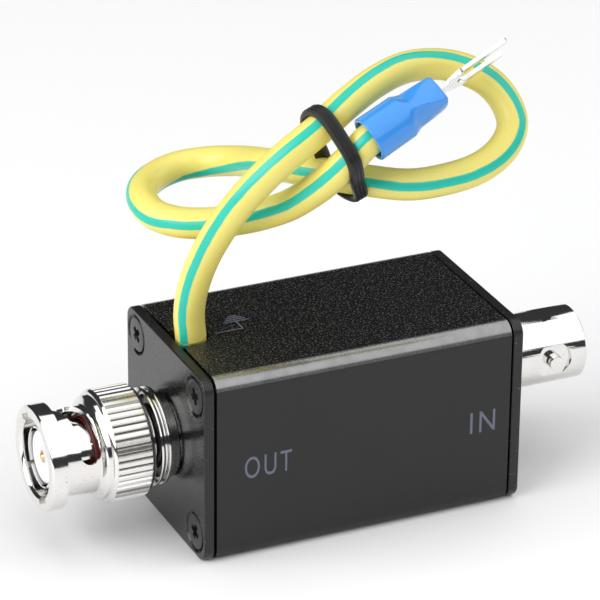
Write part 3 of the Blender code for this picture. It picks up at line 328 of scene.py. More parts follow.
def settle(obj, matrix=None):
    """Turn and move a piece to its place and leave the place in its mesh."""
    if matrix is not None:
        obj.matrix_world = matrix
    activate(obj)
    bpy.ops.object.transform_apply(location=True, rotation=True, scale=True)


def turn(name, outline, sides, closed=True):
    """A turned piece: a circle extruded from point to point of its (radius, height) outline."""
    radius, height = outline[0]
    nothing_selected()
    bpy.ops.mesh.primitive_circle_add(vertices=sides, radius=radius * MM)
    obj = bpy.context.object
    obj.name = name
    with editing(obj, "VERT", "SELECT"):
        bpy.ops.transform.translate(value=(0, 0, height * MM))
        for next_radius, next_height in outline[1:] + (outline[:1] if closed else []):
            rise, grow = (next_height - height) * MM, next_radius / radius
            bpy.ops.mesh.extrude_edges_move(TRANSFORM_OT_translate={"value": (0, 0, rise)})
            bpy.ops.transform.resize(value=(grow, grow, 1),
                                     center_override=(0, 0, next_height * MM))
            radius, height = next_radius, next_height
    whole(obj)
    return obj


def block(name, low, high):
    """A box between two corners."""
    nothing_selected()
    centre = (Vector(low) + Vector(high)) / 2
    bpy.ops.mesh.primitive_cube_add(size=1, location=centre * MM)
    obj = bpy.context.object
    obj.name = name
    obj.scale = (Vector(high) - Vector(low)) * MM
    settle(obj)
    return obj


def drum(name, radius, start, end, sides, end_radius=None):
    """A cylinder or cone between two points."""
    nothing_selected()
    start, end = Vector(start), Vector(end)
    bpy.ops.mesh.primitive_cone_add(
        vertices=sides, radius1=radius * MM,
        radius2=(radius if end_radius is None else end_radius) * MM,
        depth=(end - start).length * MM)
    obj = bpy.context.object
    obj.name = name
    turned = (end - start).to_track_quat("Z", "Y").to_matrix().to_4x4()
    settle(obj, Matrix.Translation((start + end) / 2 * MM) @ turned)
    return obj


def copy_of(obj, name):
    """A second piece with a mesh of its own."""
    other = obj.copy()
    other.data = obj.data.copy()
    other.name = name
    bpy.context.scene.collection.objects.link(other)
    return other


def turned_z(degrees):
    """A turn round Z."""
    return Matrix.Rotation(radians(degrees), 4, "Z")


def axes(origin, x_axis, z_axis):
    """A place whose Z runs along a piece's axis, as a matrix."""
    x_axis, z_axis = Vector(x_axis), Vector(z_axis).normalized()
    x_axis = (x_axis - z_axis * x_axis.dot(z_axis)).normalized()
    turned = Matrix((x_axis, z_axis.cross(x_axis), z_axis)).transposed().to_4x4()
    return Matrix.Translation(Vector(origin) * MM) @ turned


PLUG = axes((PLATE_OUT, 0, PLUG_Z), (0, -1, 0), (-1, 0, 0))
JACK = axes((PLATE_IN, 0, JACK_Z), (0, -1, 0), (1, 0, 0))
TERMINAL = axes(TERMINAL_MOUTH, TERMINAL_SIDE, TERMINAL_AXIS)


def present(obj, node, slot, look, body=BODY):
    """Give a piece its finish, by name, and the CAD node that it stands for."""
    obj.data.materials.clear()
    obj.data.materials.append(finish(look))
    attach(obj, body)
    if node:
        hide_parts(node)


def seat(place, *pieces):
    """Smooth, place and present pieces, each with an angle, a node, a slot and a finish."""
    for obj, angle, node, slot, look, *body in pieces:
        smooth(obj, angle)
        settle(obj, place)
        present(obj, node, slot, look, *body)


def repaint(node, material):
    """Give a CAD node a finish."""
    for material_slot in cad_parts[node].material_slots:
        material_slot.link = "OBJECT"
        material_slot.material = material


def screw_places():
    """Y and Z of the four screws."""
    inset = BOX_HALF - SCREW_INSET
    return [(sy * inset, BOX_TOP / 2 + sz * inset) for sz in (1, -1) for sy in (-1, 1)]


# Finishes

def math_node(operation, swapped=False):
    """An operator of Signal that adds a Math node."""
    def method(self, other):
        return self.recipe.math(operation, *((other, self) if swapped else (self, other)))
    return method


class Signal:
    """A number in a shader: Python's operators on it add Math nodes."""
    __add__, __radd__ = math_node("ADD"), math_node("ADD", True)
    __sub__, __rsub__ = math_node("SUBTRACT"), math_node("SUBTRACT", True)
    __mul__, __rmul__ = math_node("MULTIPLY"), math_node("MULTIPLY", True)
    __gt__, __lt__ = math_node("GREATER_THAN"), math_node("LESS_THAN")

    def __init__(self, recipe, socket):
        self.recipe, self.socket = recipe, socket

    def __abs__(self):
        return self.recipe.math("ABSOLUTE", self)


def shade(colour, factor):
    """A darker or lighter colour."""
    return [c * factor for c in colour]


class Recipe:
    """A material being made: one shader, fed by procedural nodes on Object coordinates."""

    def __init__(self, name, colour, **constants):
        self.material = bpy.data.materials.new(name)
        self.material.use_nodes = True
        self.tree = self.material.node_tree
        self.shader = self.tree.nodes["Principled BSDF"]
        self.shader.inputs["Base Color"].default_value = (*colour, 1.0)
        for key, value in constants.items():
            self.shader.inputs[key.replace("_", " ").title()].default_value = value

    def node(self, kind, settings=None, inputs=None, output=0):
        """Add a node: its settings first, then the values or links of its sockets."""
        node = self.tree.nodes.new(kind)
        for key, value in (settings or {}).items():
            setattr(node, key, value)
        for key, value in (inputs or {}).items():
            if isinstance(value, Signal):
                self.tree.links.new(value.socket, node.inputs[key])
            else:
                node.inputs[key].default_value = value
        return Signal(self, node.outputs[output])

    def math(self, operation, *numbers):
        """A Math node on one or two numbers or signals."""
        return self.node("ShaderNodeMath", {"operation": operation}, dict(enumerate(numbers)))

    def feed(self, **sockets):
        """Lead signals to the shader's sockets."""
        for key, signal in sockets.items():
            self.tree.links.new(signal.socket, self.shader.inputs[key.replace("_", " ").title()])

    def place(self):
        """Object coordinates, in metres."""
        return self.node("ShaderNodeTexCoord", output="Object")

    def split(self, vector):
        """The three parts of a vector."""
        return [self.node("ShaderNodeSeparateXYZ", inputs={0: vector}, output=i)
                for i in range(3)]

    def grain(self, size, detail):
        """Noise with features of a size in millimetres."""
        return self.node("ShaderNodeTexNoise", inputs={
            "Vector": self.place(), "Scale": 1 / (size * MM), "Detail": detail})

    def between(self, signal, low, high):
        """0 below low, 1 above high, a ramp between."""
        return self.node("ShaderNodeMapRange", {"clamp": True}, {
            "Value": signal, "From Min": low, "From Max": high, "To Min": 0.0, "To Max": 1.0})

    def ramp(self, signal, low, high):
        """The same between two places in millimetres."""
        return self.between(signal, low * MM, high * MM)

    def blend(self, factor, first, second):
        """A colour between two."""
        first, second = [c if isinstance(c, Signal) else (*c, 1.0) for c in (first, second)]
        return self.node("ShaderNodeMix", {"data_type": "RGBA"},
                         {0: factor, 6: first, 7: second}, output=2)

    def made(self, colour, rough, height, strength, depth):
        """The material with its colour, roughness and a bump of a depth in millimetres."""
        self.feed(Base_Color=colour, Roughness=rough, Normal=self.node(
            "ShaderNodeBump", inputs={"Strength": strength, "Distance": depth * MM,
                                      "Height": height}))
        return self.material


def black_aluminium(name, settings, blasted_top):
    """Black anodised aluminium: fine matte sides, a blasted top with painted glints and a painted
    highlight on its edge, worn cut edges.
    """
    recipe = Recipe(name, settings.black, metallic=0.0)
    _, y, z = recipe.split(recipe.place())
    fine = recipe.grain(0.16, 3.0)
    cloud = recipe.grain(7.0, 3.0)
    speck = recipe.between(recipe.grain(0.24, 1.0), 0.58, 0.68)
    side = recipe.blend(recipe.between(fine, 0.3, 0.7), shade(settings.black, 0.85),
                        shade(settings.black, 1.15))
    if blasted_top:
        top = recipe.ramp(z, BOX_TOP - 0.12, BOX_TOP - 0.02)
        # Painted glints: the specks of the top are lighter in colour where light would sparkle
        # off the grain
        painted_glint = recipe.blend(speck, settings.top_black, settings.painted_glint)
        colour = recipe.blend(top, side, painted_glint)
        # Above the start of the upper rounding the tube is smoother, and a band of it gets a
        # painted highlight: a lighter, metallic colour that stands in for the softbox's
        # reflection on the rounding
        low, inner = BOX_TOP - CORNER_RADIUS, BOX_HALF - CORNER_RADIUS
        edge = recipe.ramp(z, low, low + 0.3)
        edge_sheen = (recipe.ramp(z, BOX_TOP - 0.82 * CORNER_RADIUS, BOX_TOP - 0.62 * CORNER_RADIUS)
                  * recipe.ramp(abs(y), inner + 0.05, inner + 0.4))
        wavy = recipe.between(recipe.grain(1.6, 3.0), 0.25, 0.6)
        colour = recipe.blend(edge_sheen, colour,
                              recipe.blend(wavy, settings.edge_sheen_dull, settings.edge_sheen))
        recipe.feed(Metallic=edge_sheen)
        smoother = 0.27 + speck * (0.2 - edge_sheen * 0.15)
        rough = (0.46 + cloud * 0.06) * (1 - edge) + edge * smoother
        bump = fine * (1 - edge) * 0.35 + top * recipe.grain(0.24, 1.5), 0.8, 0.05
    else:
        middle = BOX_TOP / 2
        rim = recipe.ramp(abs(y), BOX_HALF - 0.28, BOX_HALF - 0.05)
        cap = recipe.ramp(abs(z - middle * MM), middle - 0.28, middle - 0.05)
        worn = recipe.between(recipe.grain(0.33, 3.0), 0.68, 0.74)
        edge = recipe.math("MAXIMUM", rim, cap)
        colour = recipe.blend(edge * worn, side, settings.worn)
        rough = 0.17 + cloud * 0.10 + edge * 0.22 + speck * 0.1
        bump = fine * 0.4 + recipe.grain(0.6, 3.0) * edge, 0.5, 0.03
    return recipe.made(colour, rough, *bump)


def bright_nickel(settings, knurled=False):
    """Bright plating with faint clouds and pits; the knurl's groove bottoms carry painted shade.
    """
    recipe = Recipe("nickel_nut" if knurled else "bright_nickel", settings.nickel, metallic=1.0)
    cloud = recipe.grain(1.8, 3.0)
    fine = recipe.grain(0.12, 2.0)
    pits = recipe.between(recipe.grain(0.25, 1.0), 0.70, 0.78)
    colour = recipe.blend(pits, recipe.blend(cloud, shade(settings.nickel, 0.94),
                                             settings.nickel), (0.42, 0.40, 0.37))
    rough = 0.05 + cloud * 0.07 + fine * 0.03
    if knurled:
        x, y, z = recipe.split(recipe.place())
        rise = z - PLUG_Z * MM
        reach = y * y + rise * rise
        grip = ((x > (PLATE_OUT - KNURL_FRONT - 0.05) * MM)
                * (x < (PLATE_OUT - KNURL_REAR) * MM))
        root, tip = (KNURL_ROOT + 0.03) * MM, (KNURL_TIP - 0.15) * MM
        # Painted shade: the bottoms of the grooves are darkened in colour where shade falls
        # between the ridges
        deep = (1 - recipe.between(reach, root ** 2, tip ** 2)) * grip
        colour = recipe.blend(deep, colour, (0.30, 0.27, 0.24))
        rough = rough + grip * 0.13
    return recipe.made(colour, rough, recipe.grain(0.9, 2.0), 0.25, 0.012)


def plated(name, colour, roughness):
    """Gold, tin, steel: a metal with faint tool marks."""
    recipe = Recipe(name, colour, metallic=1.0)
    cloud = recipe.grain(0.9, 3.0)
    return recipe.made(recipe.blend(cloud, shade(colour, 0.86), colour),
                       roughness + cloud * 0.12, recipe.grain(0.7, 2.0), 0.2, 0.012)


def moulded(name, colour, roughness, coat=0.0):
    """Plastic, rubber, ceramic or board: an even colour with a fine skin."""
    recipe = Recipe(name, colour, metallic=0.0, coat_weight=coat)
    cloud = recipe.grain(2.2, 3.0)
    return recipe.made(recipe.blend(cloud, shade(colour, 0.9), colour),
                       roughness - 0.04 + cloud * 0.08, recipe.grain(0.18, 2.0), 0.35, 0.015)


def insulation(settings):
    """Yellow lead with two green stripes that follow it, read from the piece's own map."""
    recipe = Recipe("lead_insulation", settings.yellow, metallic=0.0, coat_weight=0.05)
    _, around, _ = recipe.split(recipe.node("ShaderNodeUVMap", {"uv_map": "along_round"}))
    wave = recipe.grain(1.2, 2.0) * 0.02
    twice = recipe.math("FRACT", around * 2.0)
    from_stripe = 0.5 - abs(twice - 0.5) + wave
    half, blur = settings.stripe_width + 0.01, 0.012
    stripe = 1 - recipe.between(from_stripe, half - blur, half + blur)
    cloud = recipe.grain(3.5, 3.0)
    yellow = recipe.blend(cloud, shade(settings.yellow, 0.95), settings.yellow)
    green = recipe.blend(cloud, shade(settings.green, 0.85), settings.green)
    return recipe.made(recipe.blend(stripe, yellow, green), 0.33 + cloud * 0.08,
                       recipe.grain(0.5, 3.0) + stripe * 0.35, 0.35, 0.03)


def inner_insulation(settings):
    """The lead inside the box: a stripped conductor below, striped insulation at its top."""
    recipe = Recipe("inner_lead", settings.yellow, metallic=0.0)
    x, y, z = recipe.split(recipe.place())
    hole = Vector(LEAD_HOLE) * MM
    way = stripe_ways(lead_path(), Vector(bpy.context.scene.arrestor_stage.camera_place))[0]
    aside = abs((x - hole.x) * way.x + (y - hole.y) * way.y)
    limit = settings.diameter / 2 * cos(settings.stripe_width * pi)
    bare = 1 - recipe.ramp(z, LEAD_HOLE[2] - BARE_DEPTH - 0.1, LEAD_HOLE[2] - BARE_DEPTH)
    skin = recipe.blend(aside > limit, settings.yellow, settings.green)
    recipe.feed(Base_Color=recipe.blend(bare, skin, (0.72, 0.36, 0.20)), Metallic=bare,
                Roughness=0.3 + recipe.grain(3.0, 2.0) * 0.1)
    return recipe.material


FINISHES = {}


def finish(name):
    """One material for each finish, made when first asked for."""
    scene = bpy.context.scene
    if name not in FINISHES:
        FINISHES[name] = {
            "black_tube": lambda: black_aluminium("black_tube", scene.arrestor_box, True),
            "black_plate": lambda: black_aluminium("black_plate", scene.arrestor_box, False),
            "black_screw": lambda: moulded("black_screw", (0.012, 0.012, 0.012), 0.30),
            "print": lambda: moulded("print", scene.arrestor_box.print_tone, 0.5),
            "nickel": lambda: bright_nickel(scene.arrestor_connectors),
            "nickel_nut": lambda: bright_nickel(scene.arrestor_connectors, True),
            "steel": lambda: plated("spring_steel", (0.45, 0.45, 0.46), 0.28),
            "gold": lambda: plated("gold_plate", (0.90, 0.62, 0.22), 0.16),
            "tin": lambda: plated("tinned_copper", (0.86, 0.86, 0.85), 0.20),
            "white": lambda: moulded("white_insulator", (0.78, 0.78, 0.80), 0.42),
            # Painted shade: the gasket's own red is darkened further to stand in for the shade of
            # the deep gap it sits in
            "red": lambda: moulded("red_rubber", (0.13, 0.012, 0.008), 0.48),
            "lead": lambda: insulation(scene.arrestor_lead),
            "tie": lambda: moulded("tie_black", (0.012, 0.012, 0.013), 0.36),
            "blue": lambda: moulded("sleeve_blue", scene.arrestor_lead.blue, 0.24, 0.3),
            "board": lambda: moulded("board_green", (0.015, 0.14, 0.05), 0.35, 0.5),
            "ceramic": lambda: moulded("ceramic", (0.72, 0.69, 0.63), 0.40),
            "epoxy": lambda: moulded("black_epoxy", (0.018, 0.018, 0.019), 0.45),
        }[name]()
    return FINISHES[name]


# Stage

class ARRESTOR_OT_stage(bpy.types.Operator):
    """Set the camera, the pale floor and the soft lights"""
    bl_idname = "arrestor.stage"
    bl_label = "Stage"

    def execute(self, context):
        settings = context.scene.arrestor_stage
        turned = (Matrix.Rotation(-settings.yaw, 4, "Z")
                  @ Matrix.Rotation(pi / 2 - settings.pitch, 4, "X")
                  @ Matrix.Rotation(settings.roll, 4, "Z"))
        bpy.ops.object.camera_add()
        camera = context.object
        camera.name = "camera"
        camera.matrix_world = Matrix.Translation(settings.camera_place) @ turned
        camera.data.lens = settings.lens
        camera.data.sensor_width = 36
        camera.data.shift_x = settings.shift
        camera.data.clip_start = 0.01
        context.scene.camera = camera

        nothing_selected()
        bpy.ops.mesh.primitive_plane_add(size=6.0, location=(0, 0, -0.00002))
        floor = context.object
        floor.name = "floor"
        tone = settings.floor_tone
        recipe = Recipe("floor", tone, roughness=0.6)
        recipe.feed(Base_Color=recipe.blend(recipe.grain(120.0, 2.0), tone, shade(tone, 0.985)))
        floor.data.materials.append(recipe.material)

        for name, place, look, size, bright in (
                ("top", (0.3, -0.1, 1.1), (0, 0, -1), (1.6, 1.6), settings.tent),
                ("front", (0.4, -0.9, 0.74), (0, 1, 0), (1.4, 0.72), settings.tent),
                ("left", (-0.9, -0.1, 0.55), (1, 0, -0.25), (1.2, 0.75), settings.side),
                ("right", (1.1, -0.2, 0.5), (-1, 0, -0.2), (1.0, 0.6), settings.side * 0.4)):
            bpy.ops.object.light_add(type="AREA", location=place)
            light = context.object
            light.name = f"softbox_{name}"
            light.data.shape = "RECTANGLE"
            light.data.size, light.data.size_y = size
            light.data.energy = bright * pi * size[0] * size[1]
            light.rotation_euler = Vector(look).to_track_quat("-Z", "Y").to_euler()
        world = bpy.data.worlds.new("studio")
        context.scene.world = world
        world.use_nodes = True
        room = world.node_tree.nodes["Background"].inputs
        room["Color"].default_value = (0.95, 0.97, 1.0, 1)
        room["Strength"].default_value = settings.gloom
        context.scene.view_settings.view_transform = "Standard"
        return {"FINISHED"}


# Earth lead

def piece_from(bm, name):
    """An object whose mesh was built in code."""
    mesh = bpy.data.meshes.new(name)
    bm.to_mesh(mesh)
    bm.free()
    obj = bpy.data.objects.new(name, mesh)
    bpy.context.scene.collection.objects.link(obj)
    return obj


def smooth_path(points, spacing):
    """Evenly spaced points on a Catmull-Rom curve through the given ones."""
    knots = [2 * points[0] - points[1]] + points + [2 * points[-1] - points[-2]]
    fine, parts = [], 16
    for a, b, c, d in zip(knots, knots[1:], knots[2:], knots[3:]):
        for i in range(parts):
            t = i / parts
            fine.append(0.5 * (2 * b + (c - a) * t + (2 * a - 5 * b + 4 * c - d) * t * t
                               + (3 * b - a - 3 * c + d) * t ** 3))
    fine.append(points[-1])
    length = sum((q - p).length for p, q in zip(fine, fine[1:]))
    step = length / max(1, round(length / spacing))
    even, walked, target = [fine[0]], 0.0, step
    for p, q in zip(fine, fine[1:]):
        run = (q - p).length
        while walked + run >= target - 1e-9 and target < length - step / 2:
            even.append(p.lerp(q, (target - walked) / run))
            target += step
        walked += run
    even.append(fine[-1])
    return even


def lead_path():
    """The lead's middle line: one even arc from the hole to the tie, then the route's points."""
    start, end = Vector(LEAD_HOLE), Vector(ROUTE[RISE_END])
    leaves = Vector(LEAD_WAY).normalized()
    arrives = (Vector(ROUTE[RISE_END + 1]) - Vector(ROUTE[RISE_END - 1])).normalized()
    first, second = start + leaves * RISE_HANDLES[0], end - arrives * RISE_HANDLES[1]
    rise = []
    for i in range(RISE_END):
        t = i / RISE_END
        rise.append(start * (1 - t) ** 3 + first * 3 * t * (1 - t) ** 2
                    + second * 3 * t * t * (1 - t) + end * t ** 3)
    points = rise + [Vector(p) for p in ROUTE[RISE_END:]]
    return smooth_path([p * MM for p in points], LEAD_STEP * MM)


def tube_along(name, path, radius, sides, stripes):
    """A tube swept along a path without twist, mapped along it and round it from the stripe."""
    ways = [(after - before).normalized()
            for before, after in zip(path[:1] + path[:-1], path[1:] + path[-1:])]
    side = ways[0].orthogonal()
    bm = bmesh.new()
    layer = bm.loops.layers.uv.new("along_round")
    rings, walked, turned = [], 0.0, 0.0
    for i, (point, way) in enumerate(zip(path, ways)):
        side = (side - way * side.dot(way)).normalized()
        other = way.cross(side)
        if i:
            walked += (point - path[i - 1]).length
        angle = atan2(stripes[i].dot(other), stripes[i].dot(side)) / (2 * pi)
        turned = angle + round(turned - angle)
        ring = [bm.verts.new(point + radius * (side * cos(2 * pi * k / sides)
                                               + other * sin(2 * pi * k / sides)))
                for k in range(sides)]
        rings.append((ring, walked, turned))
    for (ring, start, low), (following, end, high) in zip(rings, rings[1:]):
        for k in range(sides):
            after = (k + 1) % sides
            face = bm.faces.new((ring[k], ring[after], following[after], following[k]))
            for loop, (along, around) in zip(face.loops, (
                    (start, k / sides - low), (start, (k + 1) / sides - low),
                    (end, (k + 1) / sides - high), (end, k / sides - high))):
                loop[layer].uv = (along, around)
    bm.faces.new(list(reversed(rings[0][0])))
    bm.faces.new(rings[-1][0])
    return piece_from(bm, name)


def stripe_ways(path, viewer):
    """For each point of the path, the way from the lead's axis to a stripe."""
    keys = []
    for number, angle in STRIPE_TURN:
        spot = Vector(ROUTE[number]) * MM
        keys.append((min(range(len(path)), key=lambda i: (path[i] - spot).length), angle))
    found = []
    for i, point in enumerate(path):
        way = (path[min(i + 1, len(path) - 1)] - path[max(i - 1, 0)]).normalized()
        seen = viewer - point
        seen = (seen - way * seen.dot(way)).normalized()
        before = max((k for k in keys if k[0] <= i), key=lambda k: k[0])
        after = min((k for k in keys if k[0] >= i), key=lambda k: k[0])
        share = (i - before[0]) / max(1, after[0] - before[0])
        angle = radians(before[1] + (after[1] - before[1]) * share)
        found.append(seen * cos(angle) + seen.cross(way) * sin(angle))
    return found


class ARRESTOR_OT_lead(bpy.types.Operator):
    """Make the yellow and green earth lead along its route"""
    bl_idname = "arrestor.lead"
    bl_label = "Earth lead"

    def execute(self, context):
        settings = context.scene.arrestor_lead
        path = lead_path()
        viewer = Vector(context.scene.arrestor_stage.camera_place)
        lead = tube_along("earth_lead", path, settings.diameter / 2, settings.sides,
                          stripe_ways(path, viewer))
        smooth(lead, 50)
        present(lead, "earth_wire", "earth_yellow", "lead")
        length = sum((b - a).length for a, b in zip(path, path[1:]))
        thinned = path[::4]
        if (len(path) - 1) % 4:
            thinned.append(path[-1])
        return {"FINISHED"}


def tie_corners(settings, centre, viewer):
    """The outermost points of the three strands' slices, by the angle round the tie."""
    across = TIE_DIRECTION.orthogonal().normalized()
    other = TIE_DIRECTION.cross(across)
    reach = (settings.diameter + settings.tie_thickness) / 2 / MM + TIE_SLACK
    corners = []
    for i in range(TIE_ANGLES):
        angle = 2 * pi * i / TIE_ANGLES
        way = across * cos(angle) + other * sin(angle)
        # The strap leans: its run on the viewer's side lies ahead along the strands
        ahead = settings.tie_lean / MM * way.dot(viewer)
        best = None
        for point, run in TIED:
            from_centre, run = Vector(point) - centre, Vector(run).normalized()
            slope = run.dot(TIE_DIRECTION)
            at = from_centre + run * (ahead - from_centre.dot(TIE_DIRECTION)) / slope
            lean = (run - TIE_DIRECTION * slope) * TIE_STRETCH
            spread = way * reach ** 2 + lean * lean.dot(way) * reach ** 2 / slope ** 2
            point = at + spread / spread.dot(way) ** 0.5
            if best is None or point.dot(way) > best.dot(way):
                best = point
        corners.append((centre + best) * MM)
    return corners


def even_ring(corners, steps, rounds):
    """A closed loop in even steps, smoothed in some rounds of means of neighbours."""
    sides = list(zip(corners, corners[1:] + corners[:1]))
    total = sum((b - a).length for a, b in sides)
    ring, walked, target = [], 0.0, 0.0
    for a, b in sides:
        run = (b - a).length
        while run and target < walked + run and len(ring) < steps:
            ring.append(a.lerp(b, (target - walked) / run))
            target += total / steps
        walked += run
    for _ in range(rounds):
        ring = [(ring[i - 1] + ring[i] * 2 + ring[(i + 1) % steps]) / 4 for i in range(steps)]
    return ring


class ARRESTOR_OT_tie(bpy.types.Operator):
    """Make the ribbed black strap round the three strands"""
    bl_idname = "arrestor.tie"
    bl_label = "Tie"

    def execute(self, context):
        settings = context.scene.arrestor_lead
        centre = sum((Vector(p) for p, _ in TIED), Vector()) / len(TIED)
        viewer = Vector(context.scene.arrestor_stage.camera_place) / MM - centre
        viewer = (viewer - TIE_DIRECTION * viewer.dot(TIE_DIRECTION)).normalized()
        ring = even_ring(tie_corners(settings, centre, viewer), TIE_STEPS, TIE_ROUNDS)
        section = [(settings.tie_width / 2 * across, settings.tie_thickness / 2 * out)
                   for across, out in STRAP]
        bm = bmesh.new()
        loops = []
        for i, point in enumerate(ring):
            way = (ring[(i + 1) % TIE_STEPS] - ring[i - 1]).normalized()
            out = way.cross(TIE_DIRECTION).normalized()
            if out.dot(point - centre * MM) < 0:
                out = -out
            loops.append([bm.verts.new(point + TIE_DIRECTION * u + out * v) for u, v in section])
        count = len(section)
        for a, b in zip(loops, loops[1:] + loops[:1]):
            for k in range(count):
                bm.faces.new((a[k], a[(k + 1) % count], b[(k + 1) % count], b[k]))
        bmesh.ops.recalc_face_normals(bm, faces=bm.faces)
        strap = piece_from(bm, "wire_strap")
        smooth(strap, 40)
        present(strap, "wire_tie", "tie_black", "tie")
        return {"FINISHED"}


def crimped(x, y, height):
    """Where the crimp presses a point, into a lens with a ridge along each side, or None."""
    pressed = min(1.0, max(0.0, (height - CRIMP_START) / CRIMP_RUN))
    if not pressed or (x * x + y * y) ** 0.5 <= CRIMP_CORE:
        return None
    lean = Matrix.Rotation(radians(CRIMP_TWIST * (height - CRIMP_START)), 2)
    flat = lean.inverted() @ Vector((x, y)).normalized()
    power = 1 + CRIMP_SHARPEN * pressed
    wide, deep = 1 + CRIMP_WIDEN * pressed, 1 - CRIMP_FLATTEN * pressed
    flat = Vector((copysign(abs(flat.x) ** power * wide, flat.x),
                   copysign(abs(flat.y) ** power * deep, flat.y)))
    return lean @ flat * Vector((x, y)).length


class ARRESTOR_OT_terminal(bpy.types.Operator):
    """Make the crimped blue sleeve and the tinned fork"""
    bl_idname = "arrestor.terminal"
    bl_label = "Fork terminal"

    def execute(self, context):
        sleeve = turn("terminal_sleeve_blue", [
            (0.6, 10.2), (0.6, 10.4), (2.32, 10.4), (2.46, 10.38), (2.56, 10.2), (2.62, 9.9),
            (2.62, 9.2), (2.62, 8.4), (2.62, 7.6), (2.62, 7.0), (2.66, 6.2), (2.78, 5.6),
            (2.86, 5.0), (2.86, 3.4), (2.88, 1.6), (2.90, 0.5), (2.90, 0.12), (2.82, 0.0),
            (2.5, 0.03), (2.42, 0.2), (2.36, 1.6), (2.26, 2.6), (2.26, 5.2), (2.06, 6.0),
            (2.06, 10.2)], 72)
        with editing(sleeve, "VERT") as bm:
            for vert in bm.verts:
                pressed = crimped(*(vert.co / MM))
                if pressed:
                    vert.co.x, vert.co.y = pressed * MM
            bmesh.update_edit_mesh(sleeve.data)
        soften(sleeve, 0.07, 25)
        seat(TERMINAL, (sleeve, 28, "terminal_sleeve", "sleeve_blue", "blue"))

        tongue = block("fork_tongue", (-3.2, -0.28, 13.7), (3.2, 0.28, 20.3))
        # From the prongs back to the barrel in three steps, each with its length, width and
        # thickness
        with editing(tongue) as bm:
            choose(tongue, bm.faces, lambda f: f.normal.z < -0.9)
            for back, wider, thicker in ((0.8, 0.86, 1), (1.1, 0.60, 1), (1.9, 0.93, 1.3)):
                bpy.ops.mesh.extrude_region_move(
                    TRANSFORM_OT_translate={"value": (0, 0, -back * MM)})
                bpy.ops.transform.resize(value=(wider, thicker, 1), center_override=(0, 0, 0))
        gap, root = 2.15, 15.25
        carve(tongue, drum("slot_round", gap, (0, -2, root), (0, 2, root), 48))
        carve(tongue, block("slot_straight", (-gap, -2, root), (gap, 2, 22)))
        with editing(tongue, "EDGE") as bm:
            choose(tongue, bm.edges, lambda e: runs_along(e, 1) and middle_of(e).z > 19.5
                   and abs(middle_of(e).x) > 3.0)
            bpy.ops.mesh.bevel(offset=0.45 * MM, segments=5, affect="EDGES")
        soften(tongue, 0.1, 40)
        barrel = turn("barrel", [(0.3, 10.1), (1.25, 10.1), (1.6, 9.8), (1.7, 9.4), (1.7, 5.6),
                                 (1.15, 5.6), (1.15, 9.0), (0.3, 9.0)], 48, closed=False)
        carve(tongue, barrel, "UNION")
        seat(TERMINAL, (tongue, 32, "fork_terminal", "tinned_copper", "tin"))
        return {"FINISHED"}


# Box

def round_along_x(obj, radius, steps):
    """Round a block's four edges that run along X."""
    with editing(obj, "EDGE") as bm:
        choose(obj, bm.edges, lambda e: runs_along(e, 0))
        bpy.ops.mesh.bevel(offset=radius * MM, segments=steps, affect="EDGES")


class ARRESTOR_OT_housing(bpy.types.Operator):
    """Make the extruded tube with its screw ports, board rails and lead hole"""
    bl_idname = "arrestor.housing"
    bl_label = "Housing"

    def execute(self, context):
        wall, half, end = TUBE_WALL, TUBE_HALF, TUBE_HALF - PORT_SHORT
        tube = block("housing_tube", (-half, -BOX_HALF, 0), (half, BOX_HALF, BOX_TOP))
        round_along_x(tube, CORNER_RADIUS, CORNER_STEPS)
        hollow = block("hollow", (-half - 1, wall - BOX_HALF, wall),
                       (half + 1, BOX_HALF - wall, BOX_TOP - wall))
        round_along_x(hollow, HOLLOW_RADIUS, 4)
        carve(tube, hollow)
        for y, z in screw_places():
            carve(tube, drum("port", PORT_RADIUS, (-end, y, z), (end, y, z), 40), "UNION")
        # Two rails on each side wall hold the board between them
        for side in (-1, 1):
            low, high = sorted((side * (BOX_HALF - wall - RAIL_DEPTH),
                                side * (BOX_HALF - wall / 2)))
            for base in (BOARD_LOW - SEAT_GAP - RAIL_HEIGHT, BOARD_HIGH + SEAT_GAP):
                carve(tube, block("rail", (-end, low, base), (end, high, base + RAIL_HEIGHT)),
                      "UNION")
        for y, z in screw_places():
            carve(tube, drum("bore", BORE_RADIUS, (-half - 1, y, z), (half + 1, y, z), 32))
        # The lead's hole opens into a notch that runs to the tube's end
        x, y, _ = LEAD_HOLE
        radius, below, above = LEAD_HOLE_RADIUS, BOX_TOP - 2 * wall, BOX_TOP + 1
        carve(tube, drum("lead_hole", radius, (x, y, below), (x, y, above), 64))
        carve(tube, block("lead_notch", (-half - 1, y - radius, below), (x, y + radius, above)))
        soften(tube, context.scene.arrestor_box.edge_round / MM, 50)
        smooth(tube)
        present(tube, "housing", "black_aluminium", "black_tube")
        return {"FINISHED"}


class ARRESTOR_OT_end_plates(bpy.types.Operator):
    """Make the two end plates with their countersinks"""
    bl_idname = "arrestor.end_plates"
    bl_label = "End plates"

    def execute(self, context):
        for name, side, face, hole_z in (("end_plate_out", -1, PLATE_OUT, PLUG_Z),
                                         ("end_plate_in", 1, PLATE_IN, JACK_Z)):
            inner = face - side * PLATE_THICK
            plate = block(f"{name}_sheet", (min(face, inner), -BOX_HALF, 0),
                          (max(face, inner), BOX_HALF, BOX_TOP))
            round_along_x(plate, CORNER_RADIUS, CORNER_STEPS)
            soften(plate, 0.22, 40, 3)
            back, front = inner - side, face + side
            carve(plate, drum("hole", 5.0, (back, 0, hole_z), (front, 0, hole_z), 96))
            for y, z in screw_places():
                carve(plate, drum("sink", 0.7, (face - side * 2, y, z), (front, y, z), 64, 3.7))
                carve(plate, drum("through", BORE_RADIUS, (back, y, z), (front, y, z), 40))
            smooth(plate)
            present(plate, name, "black_aluminium", "black_plate")
        return {"FINISHED"}


